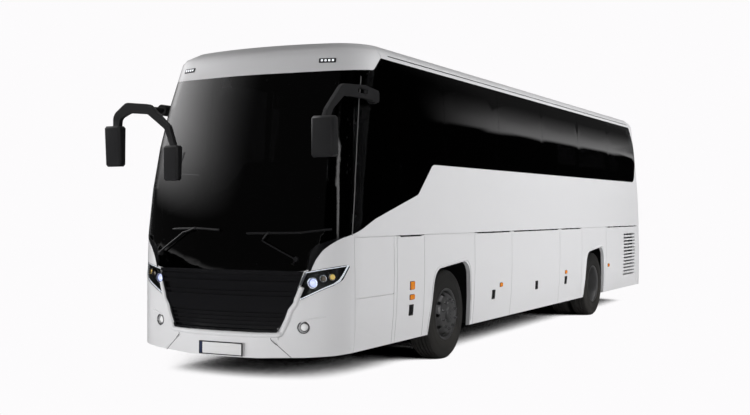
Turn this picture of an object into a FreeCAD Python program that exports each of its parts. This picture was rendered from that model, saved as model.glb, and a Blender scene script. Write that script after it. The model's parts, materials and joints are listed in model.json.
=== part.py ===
"""Twelve metre touring coach, built as the body panels, chassis and moving parts of the real vehicle.

Axes: +X is the coach's left, +Y runs rearward, +Z is up, all in millimetres. While it is modelled, Y is
counted from the front bumper's tip. Every sub-part's Placement then moves it back by half the overall
length, so that the origin lies on the ground under the middle of the coach, mirrors included.
"""
import FreeCAD
import Part
import math
import os
import Sketcher
from FreeCAD import Placement, Rotation, Vector

DOC = FreeCAD.newDocument("coach")
SHEET = DOC.addObject("Spreadsheet::Sheet", "Sizes")

# ---------------------------------------------------------------- driving dimensions
# columns: alias, value in mm (degrees where the alias ends in _angle, plain number where it says count)
DIMENSIONS = [
    # overall form
    ("body_width", 2550), ("body_length", 12000), ("roof_height", 3460), ("skirt_height", 335),
    ("bumper_height", 280), ("skirt_tuck", 40), ("tuck_top", 1000), ("lean_start", 1050),
    ("tumblehome", 85), ("windscreen_lean_radius", 4850), ("rear_lean_radius", 9090),
    ("front_plan_radius", 2900), ("front_corner_radius", 420), ("rear_plan_radius", 6500),
    ("rear_corner_radius", 350), ("brow_height", 210), ("brow_side_depth", 300),
    ("brow_front_depth", 550), ("brow_rear_depth", 380), ("mirror_lead", 250), ("mirror_reach", 1400),
    # walls and glass
    ("wall_thickness", 50), ("glass_thickness", 10), ("bond_gap", 0.3), ("glass_joint", 6),
    ("frame_margin", 70), ("window_radius", 60), ("panel_joint", 8), ("groove_depth", 12),
    ("seat_gap", 0.3),
    # glass band, side view
    ("windscreen_sill", 1125), ("belt_height", 2256), ("belt_step_height", 1882), ("band_top", 3270),
    ("windscreen_top", 3065), ("header_line", 2985), ("visor_rear", 1105), ("corner_seam", 440),
    ("rear_seam", 11620),
    # flaps
    ("flap_line", 1450), ("hinge_inset", 6), ("hinge_rise", 5), ("hinge_headroom", 13),
    ("hinge_pin_radius", 3), ("hinge_barrel_radius", 6), ("hinge_clearance", 0.3),
    ("hinge_barrel_length", 70), ("hinge_lug_width", 5),
    # wheels and axles
    ("front_axle_y", 2740), ("wheelbase", 5960), ("tyre_radius", 515), ("tyre_width", 290),
    ("rim_radius", 286), ("rim_width", 235), ("front_track_half", 1068), ("twin_outer_track", 1090),
    ("twin_spacing", 330), ("arch_top", 1125), ("arch_radius", 200), ("liner_gap", 50),
    ("kingpin_x", 960), ("kingpin_radius", 22), ("kingpin_clearance", 0.1), ("spindle_radius", 40),
    ("bearing_clearance", 0.1), ("wheel_well_inner", 520), ("liner_thickness", 6),
    # passenger door
    ("door_front", 500), ("door_rear", 1290), ("door_top", 2120), ("door_gap", 8),
    ("door_post_x", 1148), ("door_post_inset", 60), ("door_post_radius", 18), ("door_arm_length", 560),
    ("door_neck_length", 180), ("door_arm_radius", 14), ("door_arm_low", 800), ("door_arm_high", 2030),
    # floors
    ("saloon_floor", 1400), ("deck_thickness", 40), ("cab_floor", 900), ("saloon_front", 1960),
    ("luggage_floor_top", 470), ("luggage_floor_thickness", 30), ("interior_gap", 4),
    # seats
    ("seat_pitch", 760), ("seat_row_count", 11), ("first_row_y", 2620), ("seat_pair_width", 900),
    ("aisle_width", 400), ("seat_cushion_height", 450), ("seat_back_height", 1120),
]


def make_sheet():
    """Fill the spreadsheet: name in column A, value with its alias in column B."""
    for row, (alias, value) in enumerate(DIMENSIONS, start=1):
        SHEET.set("A%d" % row, alias)
        SHEET.set("B%d" % row, str(value))
        SHEET.setAlias("B%d" % row, alias)
    DOC.recompute()


make_sheet()


def size(alias):
    """The value of one driving dimension."""
    return float(SHEET.get(alias))


HALF_WIDTH = size("body_width") / 2
MIDDLE_Y = (size("body_length") - size("mirror_lead")) / 2
SUB_PARTS = []


# ---------------------------------------------------------------- shape helpers
def rounded_wire(points, plane):
    """Closed wire through points (u, v, corner radius) in plane "yz", "xz" or "xy"."""
    place = {
        "yz": lambda u, v: Vector(0, u, v),
        "xz": lambda u, v: Vector(u, 0, v),
        "xy": lambda u, v: Vector(u, v, 0),
    }[plane]
    corners = [(place(u, v), r) for u, v, r in points]
    count = len(corners)
    ends = []
    for index, (corner, radius) in enumerate(corners):
        before = (corners[index - 1][0] - corner).normalize()
        after = (corners[(index + 1) % count][0] - corner).normalize()
        if radius <= 0:
            ends.append((corner, None, corner))
            continue
        half = before.getAngle(after) / 2
        reach = radius / math.tan(half)
        inward = (before + after).normalize()
        nearest = corner + inward * (radius / math.sin(half) - radius)
        ends.append((corner + before * reach, nearest, corner + after * reach))
    edges = []
    for index, (start, middle, finish) in enumerate(ends):
        if middle is not None:
            edges.append(Part.Arc(start, middle, finish).toShape())
        following = ends[(index + 1) % count][0]
        if finish.distanceToPoint(following) > 1e-6:
            edges.append(Part.LineSegment(finish, following).toShape())
    return Part.Wire(edges)


def prism(points, plane, low, high):
    """Solid of a rounded outline in a plane, reaching from low to high along the plane's normal."""
    normal = {"yz": Vector(1, 0, 0), "xz": Vector(0, 1, 0), "xy": Vector(0, 0, 1)}[plane]
    face = Part.Face(rounded_wire(points, plane))
    face.translate(normal * low)
    return face.extrude(normal * (high - low))


def plain(points):
    """Outline points without corner radii."""
    return [(u, v, 0) for u, v in points]


def box(x_low, x_high, y_low, y_high, z_low, z_high):
    """Axis-parallel block between two corners."""
    corner = Vector(x_low, y_low, z_low)
    return Part.makeBox(x_high - x_low, y_high - y_low, z_high - z_low, corner)


def rod(start, finish, radius):
    """Round bar between two points."""
    along = finish - start
    return Part.makeCylinder(radius, along.Length, start, along)


def mirrored(shape):
    """The same shape on the coach's other side."""
    return shape.mirror(Vector(0, 0, 0), Vector(1, 0, 0))


def both_sides(shape):
    """A left-hand shape and its mirror image."""
    return [shape, mirrored(shape)]


def fuse(shapes):
    """Union of several shapes, without the seams between their coplanar faces."""
    first, rest = shapes[0], shapes[1:]
    return first.fuse(rest).removeSplitter() if rest else first


def settle(name, shape):
    """Add a shape made with Part functions as a sub-part in its place."""
    sub_part = DOC.addObject("Part::Feature", name)
    sub_part.Label = name
    sub_part.Shape = shape
    sub_part.Placement = Placement(Vector(0, -MIDDLE_Y, 0), Rotation())
    SUB_PARTS.append(sub_part)
    return sub_part


# ---------------------------------------------------------------- body skin
def lean(height):
    """Height above the level where front, rear and sides begin to lean in."""
    return max(0.0, height - size("lean_start"))


# the brow's section levels, as angles round its quarter ellipse, and the number of sections
# between the level where the sides begin to lean and the brow
BROW_ANGLES = (14, 28, 50, 90)
OUTER_STEPS = 5
INNER_STEPS = 3
INNER_FROM = 40


def stations(steps):
    """Section levels of the skin: (height, side inset, front setback, rear setback)."""
    brow_base = size("roof_height") - size("brow_height")
    span = brow_base - size("lean_start")
    levels = [size("bumper_height") - 100, size("lean_start")]
    levels += [size("lean_start") + span * step / steps for step in range(1, steps + 1)]
    rows = []
    for height in levels:
        rise = lean(height)
        side = size("tumblehome") * (rise / span) ** 2
        front = rise ** 2 / (2 * size("windscreen_lean_radius"))
        rear = rise ** 2 / (2 * size("rear_lean_radius"))
        rows.append((height, side, front, rear))
    _, side, front, rear = rows[-1]
    for angle in BROW_ANGLES:
        drop = 1 - math.cos(math.radians(angle))
        height = brow_base + size("brow_height") * math.sin(math.radians(angle))
        rows.append((height, side + size("brow_side_depth") * drop,
                     front + size("brow_front_depth") * drop, rear + size("brow_rear_depth") * drop))
    return rows


def plan_outline(height, side, front, rear, inset):
    """Closed plan section: a bowed front, round corners, straight sides and a bowed rear."""
    half = HALF_WIDTH - side - inset
    front_radius = size("front_plan_radius") - inset
    corner_radius = size("front_corner_radius") - inset
    rear_radius = size("rear_plan_radius") - inset
    rear_corner = size("rear_corner_radius") - inset
    front_centre = Vector(0, front + inset + front_radius, height)
    corner_x = half - corner_radius
    reach = math.sqrt((front_radius - corner_radius) ** 2 - corner_x ** 2)
    corner_centre = Vector(corner_x, front_centre.y - reach, height)
    rear_centre = Vector(0, size("body_length") - rear - inset - rear_radius, height)
    rear_x = half - rear_corner
    reach = math.sqrt((rear_radius - rear_corner) ** 2 - rear_x ** 2)
    rear_corner_centre = Vector(rear_x, rear_centre.y + reach, height)

    def on_circle(centre, radius, toward):
        return centre + (toward - centre).normalize() * radius

    def flip(point):
        return Vector(-point.x, point.y, point.z)

    def arc(centre, radius, start, finish):
        middle = on_circle(centre, radius, (start + finish) * 0.5)
        return Part.Arc(start, middle, finish).toShape()

    def far_end(centre, corner):
        return corner + (corner - centre)

    front_end = on_circle(front_centre, front_radius, corner_centre)
    side_start = Vector(half, corner_centre.y, height)
    side_end = Vector(half, rear_corner_centre.y, height)
    rear_end = on_circle(rear_centre, rear_radius, rear_corner_centre)
    edges = [
        arc(front_centre, front_radius, flip(front_end), front_end),
        arc(corner_centre, corner_radius, front_end, side_start),
        Part.LineSegment(side_start, side_end).toShape(),
        arc(rear_corner_centre, rear_corner, side_end, rear_end),
        arc(rear_centre, rear_radius, rear_end, flip(rear_end)),
        arc(flip(rear_corner_centre), rear_corner, flip(rear_end), flip(side_end)),
        Part.LineSegment(flip(side_end), flip(side_start)).toShape(),
        arc(flip(corner_centre), corner_radius, flip(side_start), flip(front_end)),
    ]
    return Part.Wire(edges)


def skin(inset):
    """Solid inside the body's surface, the given distance in from it."""
    rows = stations(INNER_STEPS if inset > INNER_FROM else OUTER_STEPS)
    top = rows[-1][0]
    sections = []
    for height, side, front, rear in rows:
        level = height - inset if height > top - size("brow_height") else height
        sections.append(plan_outline(level, side, front, rear, inset))
    solid = Part.makeLoft(sections, True, True)
    return solid.common(skirt_envelope(inset))


def skirt_envelope(inset):
    """Everything inside the tucked-in skirts and, for the outer skin, above the body's lower edge."""
    half = HALF_WIDTH - inset
    tuck = size("skirt_tuck")
    skirt = size("skirt_height")
    bumper = size("bumper_height")
    drop = (size("tuck_top") - skirt) / 2
    right_side = [
        (half + 200, 4000), (half + 200, size("tuck_top")), (half, size("tuck_top")),
        (half - tuck / 4, size("tuck_top") - drop), (half - tuck, skirt),
    ]
    if inset:
        right_side.append((half - tuck, 0))
    else:
        right_side += [(1140, skirt - 15), (880, bumper + 20), (600, bumper + 10), (400, bumper)]
    left_side = [(-x, z) for x, z in reversed(right_side)]
    return prism(plain(right_side + left_side), "xz", -500, size("body_length") + 500)


OUTER = skin(0)
GLASS_BACK = skin(size("glass_thickness"))
GLASS_SEAT = skin(size("glass_thickness") + size("bond_gap"))
INNER = skin(size("wall_thickness"))

# ---------------------------------------------------------------- regions of the skin, seen from the side
REACH = 2000.0
AHEAD = -500.0
BEHIND = size("body_length") + 500


def belt_points():
    """Lower edge of the dark glass from the nose to the tail: (y, z, corner radius)."""
    return [
        (150, size("windscreen_sill"), 30), (172, 1388, 150), (837, 1624, 0),
        (1855, size("belt_step_height"), 110), (2262, size("belt_height") - 34, 150),
    ]


def glass_region():
    """Everything covered by glass, from the windscreen round to the last side pane."""
    top = size("band_top")
    points = [(AHEAD, size("windscreen_sill"), 0)] + belt_points() + [
        (11330, size("belt_height"), 200), (11560, 2780, 450), (11180, top, 150),
        (size("visor_rear"), top, 60), (940, 3128, 80), (480, 3088, 0),
        (AHEAD, size("windscreen_top"), 0),
    ]
    return prism(points, "yz", -REACH, REACH)


def ahead_of_seam(shift):
    """Side view region ahead of the raked joint between windscreen and side glass."""
    seam = [(330, 900), (375, 1300), (393, 1440), (517, 2295), (681, 3075), (730, 3300)]
    points = [(AHEAD, 900)] + [(y + shift, z) for y, z in seam] + [(AHEAD, 3300)]
    return prism(plain(points), "yz", -REACH, REACH)


# window openings behind the glass, by side view corners (y, z, radius)
PANE_JOINTS = [1440, 2640, 4380, 6120, 7860, 9600]


def window_outlines(side):
    """Outlines of the openings behind each side pane, from the cab rearward."""
    margin = size("frame_margin")
    radius = size("window_radius")
    top = size("band_top") - margin
    sill = size("belt_height") + margin
    cab = [(585, 1605, radius), (PANE_JOINTS[0] - margin / 2, 1850, radius),
           (PANE_JOINTS[0] - margin / 2, top, radius), (1145, top, radius),
           (975, 3058, radius), (735, 3040, radius), (580, 2295, 0)]
    if side < 0:
        above_door = size("door_top") + margin
        cab = [(595, above_door, radius), (PANE_JOINTS[0] - margin / 2, above_door, radius)] + cab[2:5]
        cab += [(735, 3040, radius), (600, 2450, 0)]
    second = [(PANE_JOINTS[0] + margin / 2, 1868, radius), (1825, 1962, radius),
              (2235, sill - 24, radius), (PANE_JOINTS[1] - margin / 2, sill, radius),
              (PANE_JOINTS[1] - margin / 2, top, radius), (PANE_JOINTS[0] + margin / 2, top, radius)]
    outlines = [cab, second]
    for front, rear in zip(PANE_JOINTS[1:], PANE_JOINTS[2:]):
        low, high = front + margin / 2, rear - margin / 2
        outlines.append([(low, sill, radius), (high, sill, radius), (high, top, radius), (low, top, radius)])
    last = PANE_JOINTS[-1] + margin / 2
    outlines.append([(last, sill, radius), (11270, sill, 150), (11440, 2780, 300), (11130, top, 120),
                     (last, top, radius)])
    return outlines


def windscreen_opening():
    """Opening behind the windscreen, one bonding flange inside its edge."""
    sill = size("windscreen_sill") + size("frame_margin")
    points = [(AHEAD, sill, 0), (118, sill, 20), (138, 1440, 90), (335, 1512, 30), (460, 2295, 0),
              (598, 2960, 60), (AHEAD, 2992, 0)]
    return prism(points, "yz", -REACH, REACH)


GLASS_REGION = glass_region()
SHELL = OUTER.cut(INNER)
GLASS_BAND = OUTER.cut(GLASS_BACK).common(GLASS_REGION)
SEAT_BAND = OUTER.cut(GLASS_SEAT).common(GLASS_REGION)
STRUCTURE = SHELL.cut([SEAT_BAND, windscreen_opening()] + [
    prism(outline, "yz", min(0, side * REACH), max(0, side * REACH))
    for side in (1, -1) for outline in window_outlines(side)])

def side_box(side, y_low, y_high, z_low, z_high):
    """Block reaching outward from the coach's middle on one side (+1 left, -1 right)."""
    return box(min(0, side * REACH), max(0, side * REACH), y_low, y_high, z_low, z_high)


# ---------------------------------------------------------------- flaps below the floor line
# columns: name, side (+1 left), front joint y, rear joint y
FLAPS = [
    ("service_flap", 1, 1320, 1990),
    ("luggage_flap_left_1", 1, 3440, 4730),
    ("luggage_flap_left_2", 1, 4730, 6780),
    ("luggage_flap_left_3", 1, 6780, 7910),
    ("engine_flap_left", 1, 9330, 11450),
    ("luggage_flap_right_1", -1, 3440, 4730),
    ("luggage_flap_right_2", -1, 4730, 6780),
    ("luggage_flap_right_3", -1, 6780, 7910),
    ("engine_flap_right", -1, 9330, 11450),
]


def flap_axis():
    """Hinge line of the side flaps: (distance from the middle, height)."""
    return HALF_WIDTH - size("hinge_inset"), size("flap_line") - size("hinge_headroom")


def flap_opening(side, front, rear):
    """Space in the side wall for one flap."""
    half_joint = size("panel_joint") / 2
    return side_box(side, front - half_joint, rear + half_joint, 0, size("flap_line"))


def hinge_barrels(side, front, rear):
    """Hinge eyes along a flap's top edge and the bores through them."""
    out, up = flap_axis()
    half_joint = size("panel_joint") / 2
    length = size("hinge_barrel_length")
    eyes, bores = [], []
    for start in (front + half_joint, rear - half_joint - length):
        begin = Vector(side * out, start, up)
        end = Vector(side * out, start + length, up)
        eyes.append(rod(begin, end, size("hinge_barrel_radius")))
        bore = size("hinge_pin_radius") + size("hinge_clearance")
        bores.append(rod(begin - Vector(0, 1, 0), end + Vector(0, 1, 0), bore))
    return eyes, bores


def hinge_lugs(side, front, rear):
    """Lugs that hang from the side wall into a flap's end joints, with the hinge pins they carry."""
    out, up = flap_axis()
    half_lug = size("hinge_lug_width") / 2
    pin_length = size("hinge_barrel_length") - 10
    lugs = []
    for joint, way in ((front, 1), (rear, -1)):
        x_low = out - size("hinge_barrel_radius")
        x_high = out + size("hinge_barrel_radius") - 1
        low, high = sorted((side * x_low, side * x_high))
        lugs.append(box(low, high, joint - half_lug, joint + half_lug, up - 5, size("flap_line") + 3))
        start = Vector(side * out, joint, up)
        lugs.append(rod(start, start + Vector(0, way * pin_length, 0), size("hinge_pin_radius")))
    return lugs


def louvres(side, front, rear, low, high, pitch):
    """Slots between the blades of a louvred air grille."""
    slots = []
    level = low
    while level < high:
        slots.append(side_box(side, front, rear, level, level + pitch / 2))
        level += pitch
    return slots


def make_flap(name, side, front, rear):
    """One top-hinged flap cut from the side wall, with its hinge eyes and its air grille if it has one."""
    half_joint = size("panel_joint") / 2
    _, up = flap_axis()
    top = up - size("hinge_rise")
    panel = SHELL.common(side_box(side, front + half_joint, rear - half_joint, 0, top))
    eyes, bores = hinge_barrels(side, front, rear)
    flap = fuse([panel] + eyes).cut(bores)
    if name.startswith("engine_flap"):
        flap = flap.cut(louvres(side, 10500, 11300, 560, 1310, 60))
    settle(name, flap)


# ---------------------------------------------------------------- side walls
def arch_outline(axle_y, front, rear, grow):
    """Wheel arch in side view; front and rear are its corners' distances from the axle."""
    foot_front, knee_front, knee_rear, foot_rear = front[0], front[1], rear[0], rear[1]
    top = size("arch_top")
    return [
        (axle_y - foot_front - grow, 0, 0), (axle_y - foot_front - grow, 200, 0),
        (axle_y - knee_front - grow, top - 75 + grow, size("arch_radius")),
        (axle_y + knee_rear + grow, top + grow, size("arch_radius")),
        (axle_y + foot_rear + grow, 200, 0), (axle_y + foot_rear + grow, 0, 0),
    ]


FRONT_AXLE_Y = size("front_axle_y")
REAR_AXLE_Y = FRONT_AXLE_Y + size("wheelbase")
# columns: axle y, (front foot, front knee), (rear knee, rear foot) distances from the axle
ARCHES = [
    (FRONT_AXLE_Y, (620, 460), (535, 630)),
    (REAR_AXLE_Y, (645, 510), (440, 600)),
]


def arch_cutters():
    """Prisms that open the wheel arches through both side walls."""
    return [prism(arch_outline(*arch, 0), "yz", -REACH, REACH) for arch in ARCHES]


def panel_grooves():
    """Joints between fixed lower panels, cut part way into the wall."""
    joint = size("panel_joint")
    line = size("flap_line")
    rim = OUTER.cut(skin(size("groove_depth")))
    bands = [
        (444, 1320, line - joint, line), (1990, 3440, line - joint, line),
        (7910, 9330, line - joint, line), (1245, 1253, 0, line - joint),
        (444, 1245, 849, 857),
    ]
    return [rim.common(box(-REACH, REACH, *band)) for band in bands]




def side_wall_region(side):
    """Side view outline of one side wall, A pillar and window frames included."""
    seam = size("corner_seam")
    rear = size("rear_seam")
    points = [(seam + 4, 0), (rear, 0), (rear, size("band_top")), (size("visor_rear"), size("band_top")),
              (size("visor_rear"), size("header_line")), (AHEAD, size("header_line")), (AHEAD, 1480),
              (seam + 4, 1480)]
    low, high = sorted((0, side * REACH))
    return prism(plain(points), "yz", low, high)


def door_opening():
    """Passenger door opening, at the front of the right side."""
    return box(-REACH, 0, size("door_front"), size("door_rear"), 0, size("door_top"))


def door_post_brackets():
    """Brackets behind the front door jamb and over the door, bored for the door post."""
    gap = size("kingpin_clearance")
    jamb = size("door_front")
    y = jamb + size("door_post_inset")
    x = -size("door_post_x")
    low = size("door_arm_low") - 90
    high = size("door_top") + 10
    foot = fuse([box(x - 38, x + 30, jamb - 50, y + 30, low, low + 30),
                 box(x - 90, x - 20, jamb - 50, jamb - 1, low, low + 30)])
    head = box(x - 42, x + 30, jamb + 25, y + 30, high, high + 30)
    radius = size("door_post_radius") - 4 + gap
    bores = [Part.makeCylinder(radius, 60, Vector(x, y, level - 15)) for level in (low, high)]
    return [foot.cut(bores), head.cut(bores)]


def make_side_wall(name, side):
    """One side wall with its flap openings, wheel arches, window frames and hinge lugs."""
    wall = STRUCTURE.common(side_wall_region(side))
    mine = [flap for flap in FLAPS if flap[1] == side]
    cutters = [flap_opening(*flap[1:]) for flap in mine] + arch_cutters() + panel_grooves()
    if side < 0:
        cutters.append(door_opening())
    wall = wall.cut(cutters)
    extras = []
    for flap in mine:
        extras += hinge_lugs(*flap[1:])
    if side < 0:
        extras += door_post_brackets()
    settle(name, wall.fuse(extras))



def make_side_walls():
    """Both side walls and the flaps in them."""
    make_side_wall("side_wall_left", 1)
    make_side_wall("side_wall_right", -1)
    for flap in FLAPS:
        make_flap(*flap)


# ---------------------------------------------------------------- front end
def front_surface(x, height):
    """Y of the outer skin on the bowed front face."""
    radius = size("front_plan_radius")
    setback = lean(height) ** 2 / (2 * size("windscreen_lean_radius"))
    return setback + radius - math.sqrt(radius ** 2 - x ** 2)


def rear_surface(x, height):
    """Y of the outer skin on the bowed rear face."""
    radius = size("rear_plan_radius")
    setback = lean(height) ** 2 / (2 * size("rear_lean_radius"))
    return size("body_length") - setback - radius + math.sqrt(radius ** 2 - x ** 2)


GRILLE_OUTLINE = [(850, 1102, 25), (752, 850, 60), (690, 742, 80), (612, 548, 25)]
HEADLAMP_OUTLINE = [(872, 1120, 15), (1236, 1190, 20), (1190, 1040, 60), (1130, 992, 40),
                    (795, 832, 25), (772, 872, 20)]
TAIL_LAMP_OUTLINE = [(990, 860, 30), (1165, 860, 30), (1165, 1480, 30), (1010, 1480, 30)]
# columns: x, height, radius, depth of the front face behind the lens
HEADLAMP_UNITS = [(938, 1012, 60, 50), (1045, 1055, 36, 55), (1122, 1072, 34, 60)]
FOG_LAMP = (862, 588, 60)
PLATE = {"width": 520, "height": 130, "low": 292, "stand_off": 8}
NOSE = 700.0
TAIL = size("body_length") - 500


def mirrored_outline(points):
    """An outline for the other side of the middle plane, in the same turning sense."""
    return [(-x, z, radius) for x, z, radius in reversed(points)]


def front_prisms(points):
    """Left and right prisms of a front view outline, through the nose."""
    return [prism(points, "xz", -200, NOSE), prism(mirrored_outline(points), "xz", -200, NOSE)]


def grille_prism():
    """Prism of the grille opening."""
    return prism(GRILLE_OUTLINE + mirrored_outline(GRILLE_OUTLINE), "xz", -200, NOSE)


def fog_lamp_rods():
    """Bores for the fog lamps."""
    x, height, radius = FOG_LAMP
    return both_sides(rod(Vector(x, -100, height), Vector(x, NOSE, height), radius))


def band(outer_inset, inner_inset):
    """Layer of the body between two insets from its surface."""
    return skin(outer_inset).cut(skin(inner_inset))


def make_front_mask():
    """Lower front panel with bumper, opened for grille and lamps, with the plate carrier."""
    seam = size("corner_seam")
    mask = STRUCTURE.common(box(-REACH, REACH, AHEAD, seam, 0, 1480))
    mask = mask.cut([grille_prism()] + front_prisms(HEADLAMP_OUTLINE) + fog_lamp_rods())
    half = PLATE["width"] / 2
    front = -PLATE["stand_off"]
    low = PLATE["low"]
    carrier = box(-half, half, front, front_surface(half, low) + 20, low, low + PLATE["height"])
    ledge = band(-14, 20).common(box(-620, 620, AHEAD, NOSE, 462, 540))
    settle("front_mask", mask.fuse([carrier, ledge]))


def make_grille():
    """Black grille panel: a backing sheet with horizontal bars in front of it."""
    opening = grille_prism()
    sheet = band(28, 40).common(opening)
    bars = []
    bar_layer = band(3, 30).common(opening)
    for low, high in ((1040, 1080), (985, 1022), (905, 925), (860, 880), (700, 715), (660, 675),
                      (620, 635), (580, 595)):
        bars.append(bar_layer.common(box(-REACH, REACH, AHEAD, NOSE, low, high)))
    rim = bar_layer.common(box(-REACH, REACH, AHEAD, NOSE, 730, 860))
    settle("grille_panel", sheet.fuse(bars + [rim]))


def headlamp(points):
    """One headlamp: a clear lens flush with the skin, a bowl behind it and its round lamp units."""
    opening = prism(points, "xz", -200, NOSE)
    lens = band(2, 8).common(opening)
    wire = rounded_wire([(x, z, 0) for x, z, _ in points], "xz")
    grown = Part.Face(wire.makeOffset2D(12, 2))
    grown.translate(Vector(0, -200, 0))
    grown = grown.extrude(Vector(0, 595, 0))
    walls = band(size("wall_thickness") + size("seat_gap"), 125).common(grown.cut(opening))
    back = band(110, 125).common(grown)
    return lens, walls.fuse(back)


def make_lamps():
    """Headlamps, fog lamps and tail lamps in one sub-part."""
    solids = []
    lens, bowl = headlamp(HEADLAMP_OUTLINE)
    units = []
    for x, height, radius, depth in HEADLAMP_UNITS:
        start = front_surface(min(x, 1000), height) + (60 if x > 1000 else 0) + depth
        units.append(rod(Vector(x, start, height), Vector(x, start + 110, height), radius))
    inside = skin(12).cut(skin(124))
    bowl = bowl.fuse([unit.common(inside) for unit in units])
    solids += both_sides(lens) + both_sides(bowl)
    for bore in fog_lamp_rods():
        solids.append(band(4, 80).common(bore.common(box(-REACH, REACH, AHEAD, NOSE, 0, 1000))))
    tail = band(0, size("wall_thickness")).common(prism(TAIL_LAMP_OUTLINE, "xz", TAIL, BEHIND))
    solids += both_sides(tail)
    settle("lamps", Part.makeCompound([solid for shape in solids for solid in shape.Solids]))


def make_visor():
    """White panel above the windscreen, as far back as the roof joint."""
    visor = STRUCTURE.common(box(-REACH, REACH, AHEAD, size("visor_rear"), size("header_line"), 4000))
    settle("front_visor", visor)


def make_roof():
    """Roof panel with its side coves, from the visor to the tail."""
    front = size("visor_rear") + size("panel_joint")
    settle("roof_panel", STRUCTURE.common(box(-REACH, REACH, front, BEHIND, size("band_top"), 4000)))


def make_windscreen():
    """Windscreen, bent round both front corners."""
    settle("windscreen", GLASS_BAND.common(ahead_of_seam(0)))


# ---------------------------------------------------------------- rear end
HATCH = {"half_width": 800, "low": 640, "top": 1640, "barrel_x": 250, "headroom": 20}
REAR_WINDOW = [(-930, 2400, 120), (930, 2400, 120), (860, 3110, 120), (-860, 3110, 120)]


def hatch_axis():
    """Hinge line of the engine hatch: (y, height)."""
    height = HATCH["top"] + size("hinge_rise")
    return rear_surface(HATCH["barrel_x"], height) - size("hinge_inset") - 2, height


def rear_window_prism(margin):
    """Prism of the rear window, drawn in by a margin."""
    points = [(x - math.copysign(margin, x), z + (margin if z < 2700 else -margin), r)
              for x, z, r in REAR_WINDOW]
    return prism(points, "xz", TAIL, BEHIND)


def make_rear_wall():
    """Rear panel with the window, hatch and lamp openings and the hatch's hinge lugs."""
    y_axis, z_axis = hatch_axis()
    wall = STRUCTURE.common(box(-REACH, REACH, size("rear_seam"), BEHIND, 0, size("band_top")))
    gap = size("panel_joint")
    half = HATCH["half_width"] + gap
    seat = OUTER.cut(GLASS_SEAT).common(rear_window_prism(0))
    wall = wall.cut([
        box(-half, half, TAIL, BEHIND, HATCH["low"] - gap, z_axis + HATCH["headroom"]),
        seat, rear_window_prism(size("frame_margin")),
        prism(TAIL_LAMP_OUTLINE, "xz", TAIL, BEHIND),
        prism(mirrored_outline(TAIL_LAMP_OUTLINE), "xz", TAIL, BEHIND),
    ])
    lugs = []
    barrel_end = HATCH["barrel_x"] + size("hinge_barrel_length")
    for side in (1, -1):
        x_low, x_high = sorted((side * (barrel_end + 2), side * (barrel_end + 8)))
        lugs.append(box(x_low, x_high, y_axis - 6, y_axis + 4, z_axis - 4, z_axis + HATCH["headroom"] + 3))
        lugs.append(rod(Vector(side * (barrel_end + 4), y_axis, z_axis),
                        Vector(side * (HATCH["barrel_x"] + 10), y_axis, z_axis), size("hinge_pin_radius")))
    settle("rear_wall", wall.fuse(lugs))


def make_engine_hatch():
    """Top-hinged engine hatch in the rear wall."""
    y_axis, z_axis = hatch_axis()
    half = HATCH["half_width"]
    hatch = SHELL.common(box(-half, half, TAIL, BEHIND, HATCH["low"], HATCH["top"]))
    barrel_end = HATCH["barrel_x"] + size("hinge_barrel_length")
    bore = size("hinge_pin_radius") + size("hinge_clearance")
    eyes, cuts = [], []
    for side in (1, -1):
        start = Vector(side * HATCH["barrel_x"], y_axis, z_axis)
        end = Vector(side * barrel_end, y_axis, z_axis)
        eyes.append(rod(start, end, size("hinge_barrel_radius")))
        cuts.append(rod(start - Vector(side, 0, 0), end + Vector(side, 0, 0), bore))
        x_low, x_high = sorted((side * (barrel_end - 1 + 1), side * (barrel_end + 14)))
        cuts.append(box(x_low, x_high, TAIL, BEHIND, HATCH["top"] - 18, HATCH["top"] + 10))
    slots = []
    for row in range(8):
        low = 760 + row * 55
        slots.append(box(-620, 620, TAIL, BEHIND, low, low + 26))
    settle("engine_hatch", fuse([hatch] + eyes).cut(cuts + slots))


# ---------------------------------------------------------------- side and rear glass
def make_body_glass():
    """Side panes with their joints, and the rear window."""
    half_joint = size("glass_joint") / 2
    sides = GLASS_BAND.cut(ahead_of_seam(size("glass_joint")))
    joints = [box(-REACH, REACH, y - half_joint, y + half_joint, 0, 4000) for y in PANE_JOINTS]
    gap = size("door_gap")
    joints.append(box(-REACH, 0, size("door_front") - gap, size("door_rear") + gap,
                      0, size("door_top") + gap))
    panes = sides.cut(joints)
    rear = OUTER.cut(GLASS_BACK).common(rear_window_prism(1))
    settle("body_glass", Part.makeCompound(panes.Solids + rear.Solids))


# ---------------------------------------------------------------- passenger door
def door_leaf_box():
    """Space filled by the closed door leaf."""
    gap = size("door_gap")
    return box(-REACH, 0, size("door_front") + gap, size("door_rear") - gap,
               size("skirt_height") + 20, size("door_top") - gap)


def door_pivot():
    """Plan position of the hinge between door arm and leaf."""
    x = -size("door_post_x")
    return x, size("door_front") + size("door_post_inset") + size("door_arm_length")


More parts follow.
